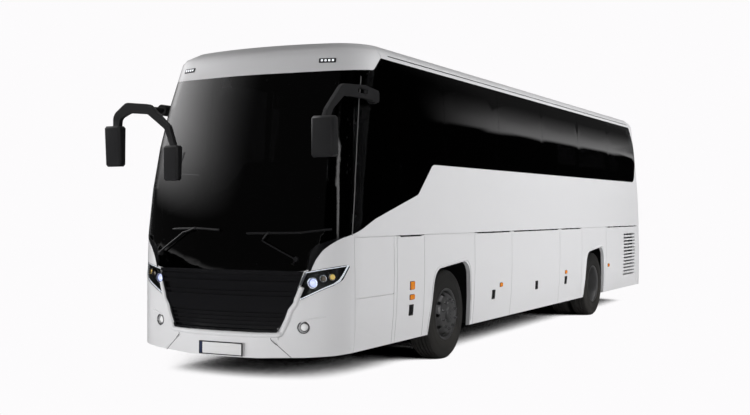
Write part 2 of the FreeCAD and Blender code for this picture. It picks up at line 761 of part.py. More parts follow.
def make_door():
    """Passenger door leaf, its glass and the swan-necked arm that carries it."""
    gap = size("kingpin_clearance")
    leaf = SHELL.cut(SEAT_BAND).common(door_leaf_box())
    front = size("door_front") + 85
    rear = size("door_rear") - 85
    radius = size("window_radius")
    top = size("door_top") - 85
    window = [(front, 1600, radius), (rear, 1830, radius), (rear, top, radius), (front, top, radius)]
    leaf = leaf.cut(prism(window, "yz", -REACH, 0))
    x, y = door_pivot()
    brackets = []
    for level in (size("door_arm_low"), size("door_arm_high")):
        plate = box(x - 90, x + 22, y - 24, y + 24, level + 20, level + 40)
        brackets.append(plate.cut(Part.makeCylinder(10 + gap, 60, Vector(x, y, level))))
    settle("door_leaf", leaf.fuse(brackets))
    settle("door_glass", GLASS_BAND.common(door_leaf_box()))
    post = Vector(x, size("door_front") + size("door_post_inset"), 0)
    neck = post + Vector(math.cos(math.radians(30)), 0.5, 0) * size("door_neck_length")
    hinge = Vector(x, y, 0)
    low, high = size("door_arm_low"), size("door_arm_high")
    radius = size("door_post_radius")
    tall = size("door_top") - low
    pieces = [Part.makeCylinder(radius, tall + 50, post + Vector(0, 0, low - 50)),
              Part.makeCylinder(radius - 4, tall + 120, post + Vector(0, 0, low - 85))]
    for level in (low, high):
        up = Vector(0, 0, level)
        arm = size("door_arm_radius")
        pieces += [rod(post + up, neck + up, arm), rod(neck + up, hinge + up, arm)]
        pieces += [Part.makeCylinder(arm, 2 * arm, neck + up - Vector(0, 0, arm)),
                   Part.makeCylinder(18, 28, hinge + up - Vector(0, 0, 14))]
        pieces.append(Part.makeCylinder(10, 50, hinge + up))
    settle("door_arm", pieces[0].fuse(pieces[1:]))



# ---------------------------------------------------------------- PartDesign helpers
def new_body(name):
    """Empty PartDesign body that becomes a sub-part."""
    body = DOC.addObject("PartDesign::Body", name)
    body.Label = name
    SUB_PARTS.append(body)
    return body


def sheet_value(expression):
    """Number that an expression of spreadsheet names comes to."""
    value = SHEET.evalExpression(expression)
    return float(getattr(value, "Value", value))


def attach_sketch(body, name, plane):
    """Sketch on one of the body's own origin planes."""
    sketch = body.newObject("Sketcher::SketchObject", name)
    origin_plane = [item for item in body.Origin.OriginFeatures if item.Role == plane][0]
    sketch.AttachmentSupport = [(origin_plane, "")]
    sketch.MapMode = "FlatFace"
    return sketch


def outline_sketch(body, name, plane, points):
    """Closed outline whose corners are held by spreadsheet expressions (across, up)."""
    sketch = attach_sketch(body, name, plane)
    places = [Vector(sheet_value(u), sheet_value(v), 0) for u, v in points]
    count = len(places)
    for index in range(count):
        sketch.addGeometry(Part.LineSegment(places[index], places[(index + 1) % count]), False)
    for index in range(count):
        sketch.addConstraint(Sketcher.Constraint("Coincident", index, 2, (index + 1) % count, 1))
    for index, (across, up) in enumerate(points):
        for kind, expression, value in (("DistanceX", across, places[index].x),
                                        ("DistanceY", up, places[index].y)):
            number = sketch.addConstraint(Sketcher.Constraint(kind, -1, 1, index, 1, value))
            sketch.setExpression("Constraints[%d]" % number, linked(expression))
    return sketch


def linked(expression):
    """Expression text with every spreadsheet name written with its sheet."""
    names = [alias for alias, _ in DIMENSIONS]
    words, word = [], ""
    for letter in expression + " ":
        if letter.isalnum() or letter == "_":
            word += letter
        else:
            words.append("Sizes." + word if word in names else word)
            words.append(letter)
            word = ""
    return "".join(words).strip()


def circle_sketch(body, name, plane, across, up, radius):
    """Circle whose centre and radius are held by spreadsheet expressions."""
    sketch = attach_sketch(body, name, plane)
    centre = Vector(sheet_value(across), sheet_value(up), 0)
    sketch.addGeometry(Part.Circle(centre, Vector(0, 0, 1), sheet_value(radius)), False)
    for kind, expression, value in (("DistanceX", across, centre.x), ("DistanceY", up, centre.y)):
        number = sketch.addConstraint(Sketcher.Constraint(kind, -1, 1, 0, 3, value))
        sketch.setExpression("Constraints[%d]" % number, linked(expression))
    number = sketch.addConstraint(Sketcher.Constraint("Radius", 0, sheet_value(radius)))
    sketch.setExpression("Constraints[%d]" % number, linked(radius))
    return sketch


def revolve(body, sketch, name="Revolution"):
    """Turn a sketch once round its horizontal axis."""
    feature = body.newObject("PartDesign::Revolution", name)
    feature.Profile = sketch
    feature.ReferenceAxis = (sketch, ["H_Axis"])
    feature.Angle = 360
    return feature


def pad(body, sketch, length, name="Pad", midplane=False):
    """Extrude a sketch by an expression's length."""
    feature = body.newObject("PartDesign::Pad", name)
    feature.Profile = sketch
    feature.setExpression("Length", linked(length))
    feature.Midplane = midplane
    return feature


def ring_pattern(body, feature, count, name):
    """Repeat a feature round the body's X axis."""
    pattern = body.newObject("PartDesign::PolarPattern", name)
    pattern.Originals = [feature]
    x_axis = [item for item in body.Origin.OriginFeatures if item.Role == "X_Axis"][0]
    pattern.Axis = (x_axis, [""])
    pattern.Angle = 360
    pattern.Occurrences = count
    body.Tip = pattern
    return pattern


def place(sub_part, x, y, z, turned=False):
    """Put a sub-part modelled about its own origin in its place; turned swaps inboard and outboard."""
    rotation = Rotation(Vector(0, 0, 1), 180 if turned else 0)
    sub_part.Placement = Placement(Vector(x, y - MIDDLE_Y, z), rotation)


# ---------------------------------------------------------------- wheels
# cross-sections in the XZ plane: X outboard from the rim's middle, Z from the wheel's axis
# a square-shouldered ring keeps all the tyres within their allowance of faces
TYRE_SECTION = [
    ("-tyre_width / 2", "rim_radius + bond_gap"), ("tyre_width / 2", "rim_radius + bond_gap"),
    ("tyre_width / 2", "tyre_radius"), ("-tyre_width / 2", "tyre_radius"),
]
# the rim's barrel is a tube under the tyre; a stepped disc joins it to the hub
FRONT_RIM_SECTION = [
    ("-rim_width / 2", "rim_radius"), ("rim_width / 2", "rim_radius"),
    ("rim_width / 2", "rim_radius - 20"), ("80", "rim_radius - 20"), ("80", "206"), ("162", "206"),
    ("162", "74"), ("205", "74"), ("205", "0"), ("132", "0"),
    ("132", "spindle_radius + bearing_clearance"), ("-20", "spindle_radius + bearing_clearance"),
    ("-20", "92"), ("146", "92"), ("146", "190"), ("64", "190"), ("64", "rim_radius - 20"),
    ("-rim_width / 2", "rim_radius - 20"),
]
REAR_RIM_SECTION = [
    ("-rim_width / 2", "rim_radius - 20"), ("-65", "rim_radius - 20"), ("-65", "206"),
    ("-165", "206"), ("-165", "104"), ("-150", "104"), ("-150", "190"), ("-50", "190"),
    ("-50", "rim_radius - 20"), ("rim_width / 2", "rim_radius - 20"), ("rim_width / 2", "rim_radius"),
    ("-rim_width / 2", "rim_radius"),
]
REAR_HUB_SECTION = [
    ("-10", "0"), ("-10", "108"), ("-180", "108"), ("-180", "206"), ("-390", "206"),
    ("-390", "192"), ("-226", "192"), ("-226", "spindle_radius + bearing_clearance"),
    ("-60", "spindle_radius + bearing_clearance"), ("-60", "0"),
]


def section_body(name, section):
    """Body turned from one cross-section."""
    body = new_body(name)
    revolve(body, outline_sketch(body, name + "_section", "XZ_Plane", section), name + "_turned")
    return body


def hand_holes(body):
    """Ring of round holes through a wheel disc."""
    hole = circle_sketch(body, body.Name + "_hand_hole", "YZ_Plane", "0", "236", "22")
    pocket = body.newObject("PartDesign::Pocket", body.Name + "_hand_hole_cut")
    pocket.Profile = hole
    pocket.Type = 1
    pocket.Midplane = True
    ring_pattern(body, pocket, 8, body.Name + "_hand_holes")


def make_front_wheel(side, tag):
    """Front tyre and rim of one side; the rim's disc bulges outward round its hub."""
    x, y = side * size("front_track_half"), FRONT_AXLE_Y
    tyre = section_body("front_tyre_" + tag, TYRE_SECTION)
    rim = section_body("front_rim_" + tag, FRONT_RIM_SECTION)
    hand_holes(rim)
    for body in (tyre, rim):
        place(body, x, y, size("tyre_radius"), side < 0)


def make_rear_wheels(side, tag):
    """Twin tyres, and twin rims bolted face to face on one hub, of one side."""
    x, y = side * size("twin_outer_track"), REAR_AXLE_Y
    spacing = size("twin_spacing")
    parts = {"tyre": [], "rim": []}
    for part_name, section in (("tyre", TYRE_SECTION), ("rim", REAR_RIM_SECTION)):
        for ring, (shift, turned) in {"outer": (0, False), "inner": (-spacing, True)}.items():
            body = section_body("rear_%s_%s_%s" % (part_name, tag, ring), section)
            SUB_PARTS.remove(body)
            if part_name == "rim" and ring == "outer":
                hand_holes(body)
            body.Placement = Placement(Vector(shift, 0, 0), Rotation(Vector(0, 0, 1), 180 if turned else 0))
            parts[part_name].append(body)
    hub = section_body("rear_hub_" + tag, REAR_HUB_SECTION)
    SUB_PARTS.remove(hub)
    tyres = DOC.addObject("Part::Compound", "rear_tyres_" + tag)
    tyres.Links = parts["tyre"]
    rims = DOC.addObject("Part::MultiFuse", "rear_rims_" + tag)
    rims.Shapes = parts["rim"] + [hub]
    for item in (tyres, rims):
        item.Label = item.Name
        SUB_PARTS.append(item)
        place(item, x, y, size("tyre_radius"), side < 0)


# ---------------------------------------------------------------- axles and steering
AXLE_Z = size("tyre_radius")
KNUCKLE = {"boss_half": 60, "boss_radius": 55, "ear": 42, "web_in": 58, "web_out": 84, "half_wide": 60}
TIE_ROD = {"back": 155, "eye_radius": 25, "pin_radius": 12, "radius": 15}
AIR_SPRING = {"x": 415, "radius": 118, "pad": 130}
RAIL = {"x_in": 380, "x_out": 450, "low": 850, "high": 1000, "rear": 11560}


def make_front_axle():
    """Front axle beam with its kingpin eyes and air spring pads."""
    x = size("kingpin_x")
    beam = box(-x + 20, x - 20, FRONT_AXLE_Y - 50, FRONT_AXLE_Y + 50, AXLE_Z - 55, AXLE_Z + 55)
    pieces = [beam]
    for side in (1, -1):
        base = Vector(side * x, FRONT_AXLE_Y, AXLE_Z - KNUCKLE["boss_half"])
        pieces.append(Part.makeCylinder(KNUCKLE["boss_radius"], 2 * KNUCKLE["boss_half"], base))
        pad_x = side * AIR_SPRING["x"]
        half = AIR_SPRING["pad"]
        pieces.append(box(pad_x - half, pad_x + half, FRONT_AXLE_Y - half, FRONT_AXLE_Y + half,
                          AXLE_Z + 45, AXLE_Z + 75))
    bore = size("kingpin_radius") + size("kingpin_clearance")
    bores = [Part.makeCylinder(bore, 200, Vector(side * x, FRONT_AXLE_Y, AXLE_Z - 100)) for side in (1, -1)]
    settle("front_axle", fuse(pieces).cut(bores))


def make_knuckle(side, tag):
    """Steering knuckle: forked ears on the kingpin, spindle, and steering arm with its ball pin."""
    x = size("kingpin_x")
    gap = size("seat_gap")
    half = KNUCKLE["half_wide"]
    low = AXLE_Z - KNUCKLE["boss_half"] - gap
    high = AXLE_Z + KNUCKLE["boss_half"] + gap
    pieces = [Part.makeCylinder(size("kingpin_radius"), high - low + 2 * KNUCKLE["ear"] - 4,
                                Vector(x, FRONT_AXLE_Y, low - KNUCKLE["ear"] + 2))]
    for bottom in (low - KNUCKLE["ear"], high):
        pieces.append(Part.makeCylinder(50, KNUCKLE["ear"], Vector(x, FRONT_AXLE_Y, bottom)))
        pieces.append(box(x, x + KNUCKLE["web_out"], FRONT_AXLE_Y - 45, FRONT_AXLE_Y + 45,
                          bottom, bottom + KNUCKLE["ear"]))
    pieces.append(box(x + KNUCKLE["web_in"], x + KNUCKLE["web_out"], FRONT_AXLE_Y - half,
                      FRONT_AXLE_Y + half, low - KNUCKLE["ear"], high + KNUCKLE["ear"]))
    tip = size("front_track_half") + 120
    pieces.append(rod(Vector(x + KNUCKLE["web_in"], FRONT_AXLE_Y, AXLE_Z),
                      Vector(tip, FRONT_AXLE_Y, AXLE_Z), size("spindle_radius")))
    arm_level = low - KNUCKLE["ear"]
    ball = Vector(x, FRONT_AXLE_Y + TIE_ROD["back"], arm_level)
    arm = [(x - 36, FRONT_AXLE_Y, 0), (x + 36, FRONT_AXLE_Y, 0), (ball.x + 24, ball.y + 22, 20),
           (ball.x - 24, ball.y + 22, 20)]
    pieces.append(prism(arm, "xy", arm_level, arm_level + 30))
    pin = Part.makeCylinder(TIE_ROD["pin_radius"], 60, ball - Vector(0, 0, 44))
    knuckle = fuse(pieces + [pin])
    settle("knuckle_" + tag, knuckle if side > 0 else mirrored(knuckle))


def make_tie_rod():
    """Track rod that joins the two steering arms behind the axle."""
    low = AXLE_Z - KNUCKLE["boss_half"] - size("seat_gap") - KNUCKLE["ear"]
    x = size("kingpin_x")
    y = FRONT_AXLE_Y + TIE_ROD["back"]
    middle = low - 24
    pieces = [rod(Vector(-x, y, middle), Vector(x, y, middle), TIE_ROD["radius"])]
    bores = []
    for side in (1, -1):
        base = Vector(side * x, y, middle - 18)
        pieces.append(Part.makeCylinder(TIE_ROD["eye_radius"], 36, base))
        bores.append(Part.makeCylinder(TIE_ROD["pin_radius"] + size("kingpin_clearance"), 80,
                                       base - Vector(0, 0, 10)))
    settle("tie_rod", fuse(pieces).cut(bores))


def make_rear_axle():
    """Drive axle: banjo casing, tubes and spindles, with beams under the four air springs."""
    spindle_end = size("twin_outer_track") - 80
    tube_end = size("twin_outer_track") - 240
    y = REAR_AXLE_Y
    pieces = [
        rod(Vector(-spindle_end, y, AXLE_Z), Vector(spindle_end, y, AXLE_Z), size("spindle_radius")),
        rod(Vector(-tube_end, y, AXLE_Z), Vector(tube_end, y, AXLE_Z), 72),
        rod(Vector(0, y - 150, AXLE_Z), Vector(0, y + 110, AXLE_Z), 190),
        rod(Vector(0, y + 100, AXLE_Z), Vector(0, y + 330, AXLE_Z), 60),
    ]
    for side in (1, -1):
        x = side * AIR_SPRING["x"]
        pieces.append(box(x - 60, x + 60, y - 540, y + 540, AXLE_Z - 60, AXLE_Z + 40))
        for way in (1, -1):
            half = AIR_SPRING["pad"]
            middle = y + way * 400
            pieces.append(box(x - half, x + half, middle - half, middle + half, AXLE_Z + 30, AXLE_Z + 50))
    settle("rear_axle", fuse(pieces))


def make_air_springs():
    """Rolling-lobe air springs between the axles' pads and the frame rails."""
    radius = AIR_SPRING["radius"]
    gap = size("seat_gap")
    solids = []
    seats = [(FRONT_AXLE_Y, AXLE_Z + 75), (REAR_AXLE_Y - 400, AXLE_Z + 50), (REAR_AXLE_Y + 400, AXLE_Z + 50)]
    for y, low in seats:
        bottom, top = low + gap, RAIL["low"] - gap
        waist = bottom + (top - bottom) * 0.38
        profile = [(0, bottom), (radius - 30, bottom), (radius - 30, waist), (radius, waist),
                   (radius, top - 14), (radius - 20, top - 14), (radius - 20, top), (0, top)]
        wire = Part.makePolygon([Vector(r, 0, z) for r, z in profile + profile[:1]])
        bellows = Part.Face(wire).revolve(Vector(0, 0, 0), Vector(0, 0, 1), 360)
        bellows.translate(Vector(AIR_SPRING["x"], y, 0))
        solids += both_sides(bellows)
    settle("air_springs", Part.makeCompound(solids))


# ---------------------------------------------------------------- frame and floors
DECK_UNDER = size("saloon_floor") - size("deck_thickness")
BULKHEADS = (3465, 7880)
CROSSMEMBERS = (2050, 9400, 10150, 11540)
POSTS = (4730, 6780)
FRONT_RAIL = {"low": 710, "high": 860, "front": 260, "rear": 2080, "crossmembers": (330, 1300)}


def make_underframe():
    """Frame rails and crossmembers, ahead of and behind the luggage bay, with the rear tow eye."""
    side = 1150
    low, high = RAIL["low"], RAIL["high"]
    gap = 15 + size("seat_gap")
    frames = []
    for front, rear in ((2020, BULKHEADS[0] - gap), (BULKHEADS[1] + gap, RAIL["rear"])):
        pieces = [box(RAIL["x_in"], RAIL["x_out"], front, rear, low, high),
                  box(-RAIL["x_out"], -RAIL["x_in"], front, rear, low, high)]
        for y in CROSSMEMBERS:
            if front < y < rear:
                reach = 800 if y > 11500 else side
                pieces.append(box(-reach, reach, y - 30, y + 30, low + 20, high - 20))
                if y < 11500:
                    pieces.append(box(side - 50, side, y - 25, y + 25, low + 20, DECK_UNDER))
                    pieces.append(box(-side, 50 - side, y - 25, y + 25, low + 20, DECK_UNDER))
        frames.append(pieces)
    for x in (-250, RAIL["x_in"]):
        frames[0].append(box(x, x + 70, FRONT_RAIL["front"], FRONT_RAIL["rear"], FRONT_RAIL["low"],
                             FRONT_RAIL["high"]))
    for y in FRONT_RAIL["crossmembers"]:
        frames[0].append(box(-250, 900, y - 30, y + 30, FRONT_RAIL["low"] + 20, FRONT_RAIL["high"] - 20))
    frames[0].append(box(-RAIL["x_out"], RAIL["x_out"], 2020, 2080, FRONT_RAIL["low"], high))
    tow = box(-60, 60, 11500, 11900, 372, 402).cut(Part.makeCylinder(20, 60, Vector(0, 11850, 360)))
    frames[1] += [tow, box(-60, 60, 11510, 11540, 372, low + 30)]
    settle("underframe", Part.makeCompound([fuse(pieces) for pieces in frames]))


def make_luggage_bay():
    """Luggage floor between the axles, with its bulkheads and the posts behind the flaps' joints."""
    under = size("luggage_floor_top") - size("luggage_floor_thickness")
    side = 1150
    front, rear = BULKHEADS
    pieces = [box(-side, side, front - 15, rear + 15, under, size("luggage_floor_top"))]
    for y in BULKHEADS:
        pieces.append(box(-side, side, y - 15, y + 15, under, DECK_UNDER))
    for y in POSTS:
        pieces.append(box(side - 50, side, y - 25, y + 25, under, DECK_UNDER))
        pieces.append(box(-side, 50 - side, y - 25, y + 25, under, DECK_UNDER))
    settle("luggage_bay", fuse(pieces))


def make_floor_deck():
    """Saloon floor over the frame, cab platform, and the entry steps inside the passenger door."""
    inside = skin(size("wall_thickness") + size("seat_gap"))
    top = size("saloon_floor")
    deck = inside.common(box(-REACH, REACH, size("saloon_front"), BEHIND, DECK_UNDER, top))
    cab = inside.common(box(-300, REACH, 420, size("saloon_front") + 20, size("cab_floor") - 40,
                            size("cab_floor")))
    riser = inside.common(box(-REACH, REACH, size("saloon_front"), size("saloon_front") + 20,
                              size("cab_floor") - 40, top))
    pieces = [deck, cab, riser]
    # columns: low x, high x, front y, rear y, tread height
    treads = [(-1180, -900, 560, 1900, 400), (-900, -600, 420, 1900, 567), (-600, -300, 420, 1900, 733)]
    for x_low, x_high, front, rear, height in treads:
        pieces.append(inside.common(box(x_low, x_high + 20, front, rear, height - 30, height)))
        pieces.append(box(x_high, x_high + 20, front, rear, height - 30, height + 167))
    pieces.append(inside.common(box(-1180, -280, 1880, size("saloon_front") + 20, 370, size("cab_floor"))))
    pieces.append(box(-600, -200, 1660, size("saloon_front"), size("cab_floor") - 20, 1150))
    settle("floor_deck", fuse(pieces))


def make_wheel_housings():
    """Liners that close the wheel arches above and around the tyres."""
    inside = skin(size("wall_thickness") + size("seat_gap"))
    thick = size("liner_thickness")
    gap = size("liner_gap")
    solids = []
    for arch, inner_x in zip(ARCHES, (size("wheel_well_inner"), 560)):
        outer = prism(arch_outline(*arch, gap + thick), "yz", inner_x, REACH)
        inner = prism(arch_outline(*arch, gap), "yz", inner_x - 10, REACH + 10)
        liner = outer.cut([inner, box(0, REACH + 20, 0, 20000, -10, 345)]).common(inside)
        solids += both_sides(liner)
    settle("wheel_housings", Part.makeCompound([solid for shape in solids for solid in shape.Solids]))


def make_engine_block():
    """Engine and gearbox as one plain block between the frame rails."""
    block = DOC.addObject("Part::Box", "engine_block")
    block.Label = "engine_block"
    block.Length = 2 * RAIL["x_in"] - 2 * size("seat_gap")
    block.Width = 1250
    block.Height = 800
    SUB_PARTS.append(block)
    place(block, -RAIL["x_in"] + size("seat_gap"), 10190, 480)


# ---------------------------------------------------------------- interior
SEAT_SIDE = [(60, 0, 0), (300, 0, 0), (300, 330, 0), (470, 330, 30), (480, 450, 50), (90, 450, 60),
             (-60, 1090, 40), (-160, 1090, 40), (-110, 520, 80), (-20, 330, 0), (60, 330, 0)]


def seat_row(y, x_low, x_high, floor):
    """Joined seats across one side of the aisle; they face forward."""
    points = [(y - u, floor + size("seat_gap") + v, r) for u, v, r in SEAT_SIDE]
    return prism(points, "yz", x_low, x_high)


def make_seats():
    """Passenger seats in pairs, the rear bench and the driver's seat."""
    floor = size("saloon_floor")
    aisle = size("aisle_width") / 2
    width = size("seat_pair_width")
    solids = []
    for row in range(int(size("seat_row_count"))):
        y = size("first_row_y") + 480 + row * size("seat_pitch")
        solids += both_sides(seat_row(y, aisle, aisle + width, floor))
    bench_y = size("first_row_y") + 480 + int(size("seat_row_count")) * size("seat_pitch")
    solids.append(seat_row(bench_y, -aisle - width, aisle + width, floor))
    solids.append(seat_row(1560, 330, 830, size("cab_floor")))
    settle("seats", Part.makeCompound(solids))


def make_dashboard():
    """Dashboard across the cab with the driver's binnacle, steering column and wheel."""
    inside = skin(size("wall_thickness") + 12)
    cab = size("cab_floor")
    outline = [(420, cab, 0), (640, cab, 0), (690, 1180, 40), (650, 1270, 40), (420, 1240, 0), (130, 1240, 0),
               (130, 1205, 0), (420, 1205, 0)]
    board = prism(outline, "yz", -960, REACH).common(inside)
    board.translate(Vector(0, 0, size("seat_gap")))
    cowl = prism([(440, 1230, 0), (730, 1230, 20), (690, 1360, 40), (460, 1330, 30)], "yz", 300, 860)
    tilt = Vector(0, 0.62, 0.785)
    hub = Vector(580, 850, 1330)
    column = rod(hub - tilt * 330, hub, 32)
    ring_base = hub - tilt * 12
    wheel = Part.makeCylinder(236, 24, ring_base, tilt).cut(Part.makeCylinder(212, 24, ring_base, tilt))
    across = Vector(1, 0, 0)
    spokes = [rod(hub - across * 222, hub + across * 222, 10), rod(hub, hub + tilt.cross(across) * 222, 10)]
    settle("dashboard", board.fuse([cowl, column, wheel] + spokes))


def make_luggage_racks():
    """Overhead luggage racks along both sides of the saloon."""
    profile = [(1150, 3020, 0), (760, 2960, 30), (740, 3000, 10), (1100, 3180, 0), (1150, 3180, 0)]
    inside = skin(size("wall_thickness") + size("seat_gap"))
    reach = [(x if x < 1140 else 1400, z, r) for x, z, r in profile]
    rack = prism(reach, "xz", 2700, 11100).common(inside)
    settle("luggage_racks", Part.makeCompound(both_sides(rack)))


# ---------------------------------------------------------------- mirrors and wipers
def bevelled(block, amount):
    """A block with all its edges bevelled."""
    return block.makeChamfer(amount, block.Edges)


def make_mirrors():
    """Left mirror on its forward arm; right arch that carries a road mirror and a kerb mirror."""
    left_arm = [(860, 2900, 30), (560, 2930, 60), (120, 2900, 160), (-170, 2640, 80), (-215, 2560, 0),
                (-120, 2560, 0), (-60, 2650, 80), (150, 2790, 120), (560, 2800, 60), (860, 2780, 30)]
    slot = [(620, 2890, 15), (420, 2895, 15), (420, 2845, 15), (620, 2840, 15)]
    arm = prism(left_arm, "yz", HALF_WIDTH - 13, HALF_WIDTH + 27)
    arm = arm.cut(prism(slot, "yz", HALF_WIDTH - 40, HALF_WIDTH + 40))
    puck = rod(Vector(HALF_WIDTH - 75, 820, 2840), Vector(HALF_WIDTH, 820, 2840), 70)
    puck = puck.cut(skin(-size("seat_gap")))
    lead, reach = size("mirror_lead"), size("mirror_reach")
    head = prism(plain([(-lead, 2570), (-130, 2575), (-120, 2200), (-lead, 2190)]), "yz", reach - 235, reach)
    head = bevelled(head, 22)
    left = fuse([arm, puck, head])
    right_arch = [(-1330, 2560, 0), (-1330, 2700, 110), (-1160, 2820, 90), (-860, 2790, 90), (-600, 2560, 90),
                  (-530, 2350, 0), (-590, 2350, 0), (-660, 2530, 80), (-880, 2690, 80), (-1120, 2710, 60),
                  (-1240, 2660, 60), (-1250, 2560, 0)]
    arch = prism(right_arch, "xz", -60, -10)
    foot_arm = rod(Vector(-1130, -35, 2765), Vector(-1150, 560, 2790), 32)
    foot = rod(Vector(-1150, 500, 2790), Vector(-1150, 640, 2790), 60)
    foot_solid = fuse([foot_arm, foot]).cut(skin(-size("seat_gap")))
    road = prism(plain([(-130, 2580), (0, 2580), (-5, 2165), (-105, 2160)]), "yz", -reach, 205 - reach)
    road = bevelled(road, 22)
    kerb = prism(plain([(-105, 2360), (5, 2360), (-10, 2010), (-100, 2005)]), "yz", -650, -470)
    kerb = bevelled(kerb, 20)
    right = fuse([arch, foot_solid, road, kerb])
    settle("mirrors", Part.makeCompound(left.Solids + right.Solids))


# wipers: blade height, pivot height, clearance of the blade from the glass, rod radii
WIPER = {"blade": 1505, "pivot": 1180, "clear": 26, "arm_radius": 9, "blade_radius": 8, "boss_radius": 26}


def make_wipers():
    """Two pantograph wipers parked low across the windscreen."""
    solids = []
    level, clear = WIPER["blade"], WIPER["clear"]
    # columns: pivot x, blade start x, blade end x
    for pivot_x, start_x, end_x in ((-760, -640, 60), (620, 300, 1000)):
        middle = (start_x + end_x) / 2
        glass = front_surface(pivot_x, WIPER["pivot"])
        pivot = Vector(pivot_x, glass - clear, WIPER["pivot"])
        grip = Vector(middle, front_surface(middle, level) - clear - 10, level)
        ends = [Vector(x, front_surface(x, level) - clear, level) for x in (start_x, middle, end_x)]
        boss = rod(pivot, Vector(pivot_x, glass + 60, WIPER["pivot"]), WIPER["boss_radius"])
        boss = boss.cut(skin(-size("seat_gap")))
        blades = [rod(first, last, WIPER["blade_radius"]) for first, last in zip(ends, ends[1:])]
        solids += fuse([rod(pivot, grip, WIPER["arm_radius"]), boss] + blades).Solids
    settle("wipers", Part.makeCompound(solids))


# ---------------------------------------------------------------- build, test and write
for maker in (make_side_walls, make_front_mask, make_grille, make_lamps, make_visor, make_roof,
              make_windscreen, make_rear_wall, make_engine_hatch, make_body_glass, make_door,
              make_front_axle, make_tie_rod, make_rear_axle, make_air_springs, make_underframe,
              make_luggage_bay, make_floor_deck, make_wheel_housings, make_engine_block, make_seats,
              make_dashboard, make_luggage_racks, make_mirrors, make_wipers):
    maker()
for side, tag in ((1, "left"), (-1, "right")):
    make_knuckle(side, tag)
    make_front_wheel(side, tag)
    make_rear_wheels(side, tag)

DOC.recompute()
faults = [item.Name for item in DOC.Objects if set(item.State) & {"Invalid", "Error"}]
if faults:
    raise RuntimeError("features failed: %s" % faults)
os.makedirs("parts", exist_ok=True)
for sub_part in SUB_PARTS:
    shape = sub_part.Shape
    if shape.isNull() or not shape.isValid():
        raise RuntimeError("bad shape: %s" % sub_part.Label)
    shape.exportStep("parts/%s.step" % sub_part.Label)
print("wrote", len(SUB_PARTS), "sub-parts")
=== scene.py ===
# %% [markdown]
# # Coach bus: finishes, detail pieces and studio
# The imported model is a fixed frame: every panel, wheel and axle of the coach is already in place.
# This lesson gives those parts their finishes, adds the pieces too fine for the frame, and
# lights the coach like a vehicle on a studio's white floor. Everything is in metres, X to the
# coach's left, Y towards its rear and Z up.

# %% Load the frame
import bpy, bmesh, json, math
from mathutils import Matrix, Vector
from mathutils.bvhtree import BVHTree


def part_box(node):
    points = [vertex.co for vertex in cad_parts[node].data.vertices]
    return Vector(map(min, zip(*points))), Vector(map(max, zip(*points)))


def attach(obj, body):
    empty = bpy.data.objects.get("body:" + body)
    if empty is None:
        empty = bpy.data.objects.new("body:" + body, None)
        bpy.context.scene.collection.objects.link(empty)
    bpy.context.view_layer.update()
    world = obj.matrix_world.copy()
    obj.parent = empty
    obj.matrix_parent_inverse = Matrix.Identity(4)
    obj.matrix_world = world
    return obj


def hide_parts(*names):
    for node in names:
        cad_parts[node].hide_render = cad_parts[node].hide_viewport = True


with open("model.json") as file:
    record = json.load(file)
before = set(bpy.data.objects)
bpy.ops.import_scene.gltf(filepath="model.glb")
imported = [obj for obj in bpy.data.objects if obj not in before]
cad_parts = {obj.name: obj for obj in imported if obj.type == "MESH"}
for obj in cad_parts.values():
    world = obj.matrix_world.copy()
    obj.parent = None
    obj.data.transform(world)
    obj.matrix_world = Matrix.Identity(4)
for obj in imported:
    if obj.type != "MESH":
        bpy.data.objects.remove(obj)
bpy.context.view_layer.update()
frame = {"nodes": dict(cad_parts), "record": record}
scene = bpy.context.scene
nodes = frame["nodes"]

# %% [markdown]
# ## Places
# The nose, the tail, the axles and the tyres' sizes come from the frame's own boxes. Later cells
# send rays at the panels, so a small piece stays on its panel if that moves in or out.

# %% Places read from the frame
SIDES = (("left", 1), ("right", -1))
UP = Vector((0, 0, 1))
PLATE_STAND_OFF = 0.008
NOSE_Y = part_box("front_mask")[0].y + PLATE_STAND_OFF
REAR_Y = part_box("rear_wall")[1].y
tyre_low, tyre_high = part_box("front_tyre_left")
WHEEL_RADIUS = (tyre_high.z - tyre_low.z) / 2
TYRE_HALF = (tyre_high.x - tyre_low.x) / 2
RIM_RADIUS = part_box("front_rim_left")[1].z - WHEEL_RADIUS
FRONT_AXLE_Y = sum(corner.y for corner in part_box("front_tyre_left")) / 2
REAR_AXLE_Y = sum(corner.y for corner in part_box("rear_tyres_left")) / 2
AXLES = (("front", FRONT_AXLE_Y), ("rear", REAR_AXLE_Y))
print("nose", round(NOSE_Y, 3), "axles", round(FRONT_AXLE_Y, 3), round(REAR_AXLE_Y, 3))

# %% [markdown]
# ## Camera
# A long lens far away would flatten the coach. A 51 mm lens near the front corner gives the
# strong vanishing lines of a catalogue picture, with the eye at a standing person's height.

# %% Camera
EYE = Vector((6.176, NOSE_Y - 8.552, 1.685))
CAMERA_TURN = (90.29, 0.0, 27.6)
camera = bpy.data.objects.new("camera", bpy.data.cameras.new("camera"))
scene.collection.objects.link(camera)
camera.data.lens = 51.0
camera.data.sensor_width = 36.0
camera.location = EYE
camera.rotation_euler = [math.radians(angle) for angle in CAMERA_TURN]
scene.camera = camera
print("eye height", round(EYE.z, 2))

# %% [markdown]
# ## Shared effects
# Two effects are used by many finishes: a fine grain, as on moulded plastic or cast iron, and
# road dust, which is thick near the ground and fades upward. Each is a node group with named
# sockets, built once, so every finish can use it with its own values.

# %% Node helpers
def feed(node, name, value):
    """Sets an input of a node, or links it to an output or to a node's first live output."""
    if isinstance(value, bpy.types.Node):
        value = next(socket for socket in value.outputs if socket.enabled)
    if isinstance(value, bpy.types.NodeSocket):
        node.id_data.links.new(value, node.inputs[name])
    else:
        node.inputs[name].default_value = value


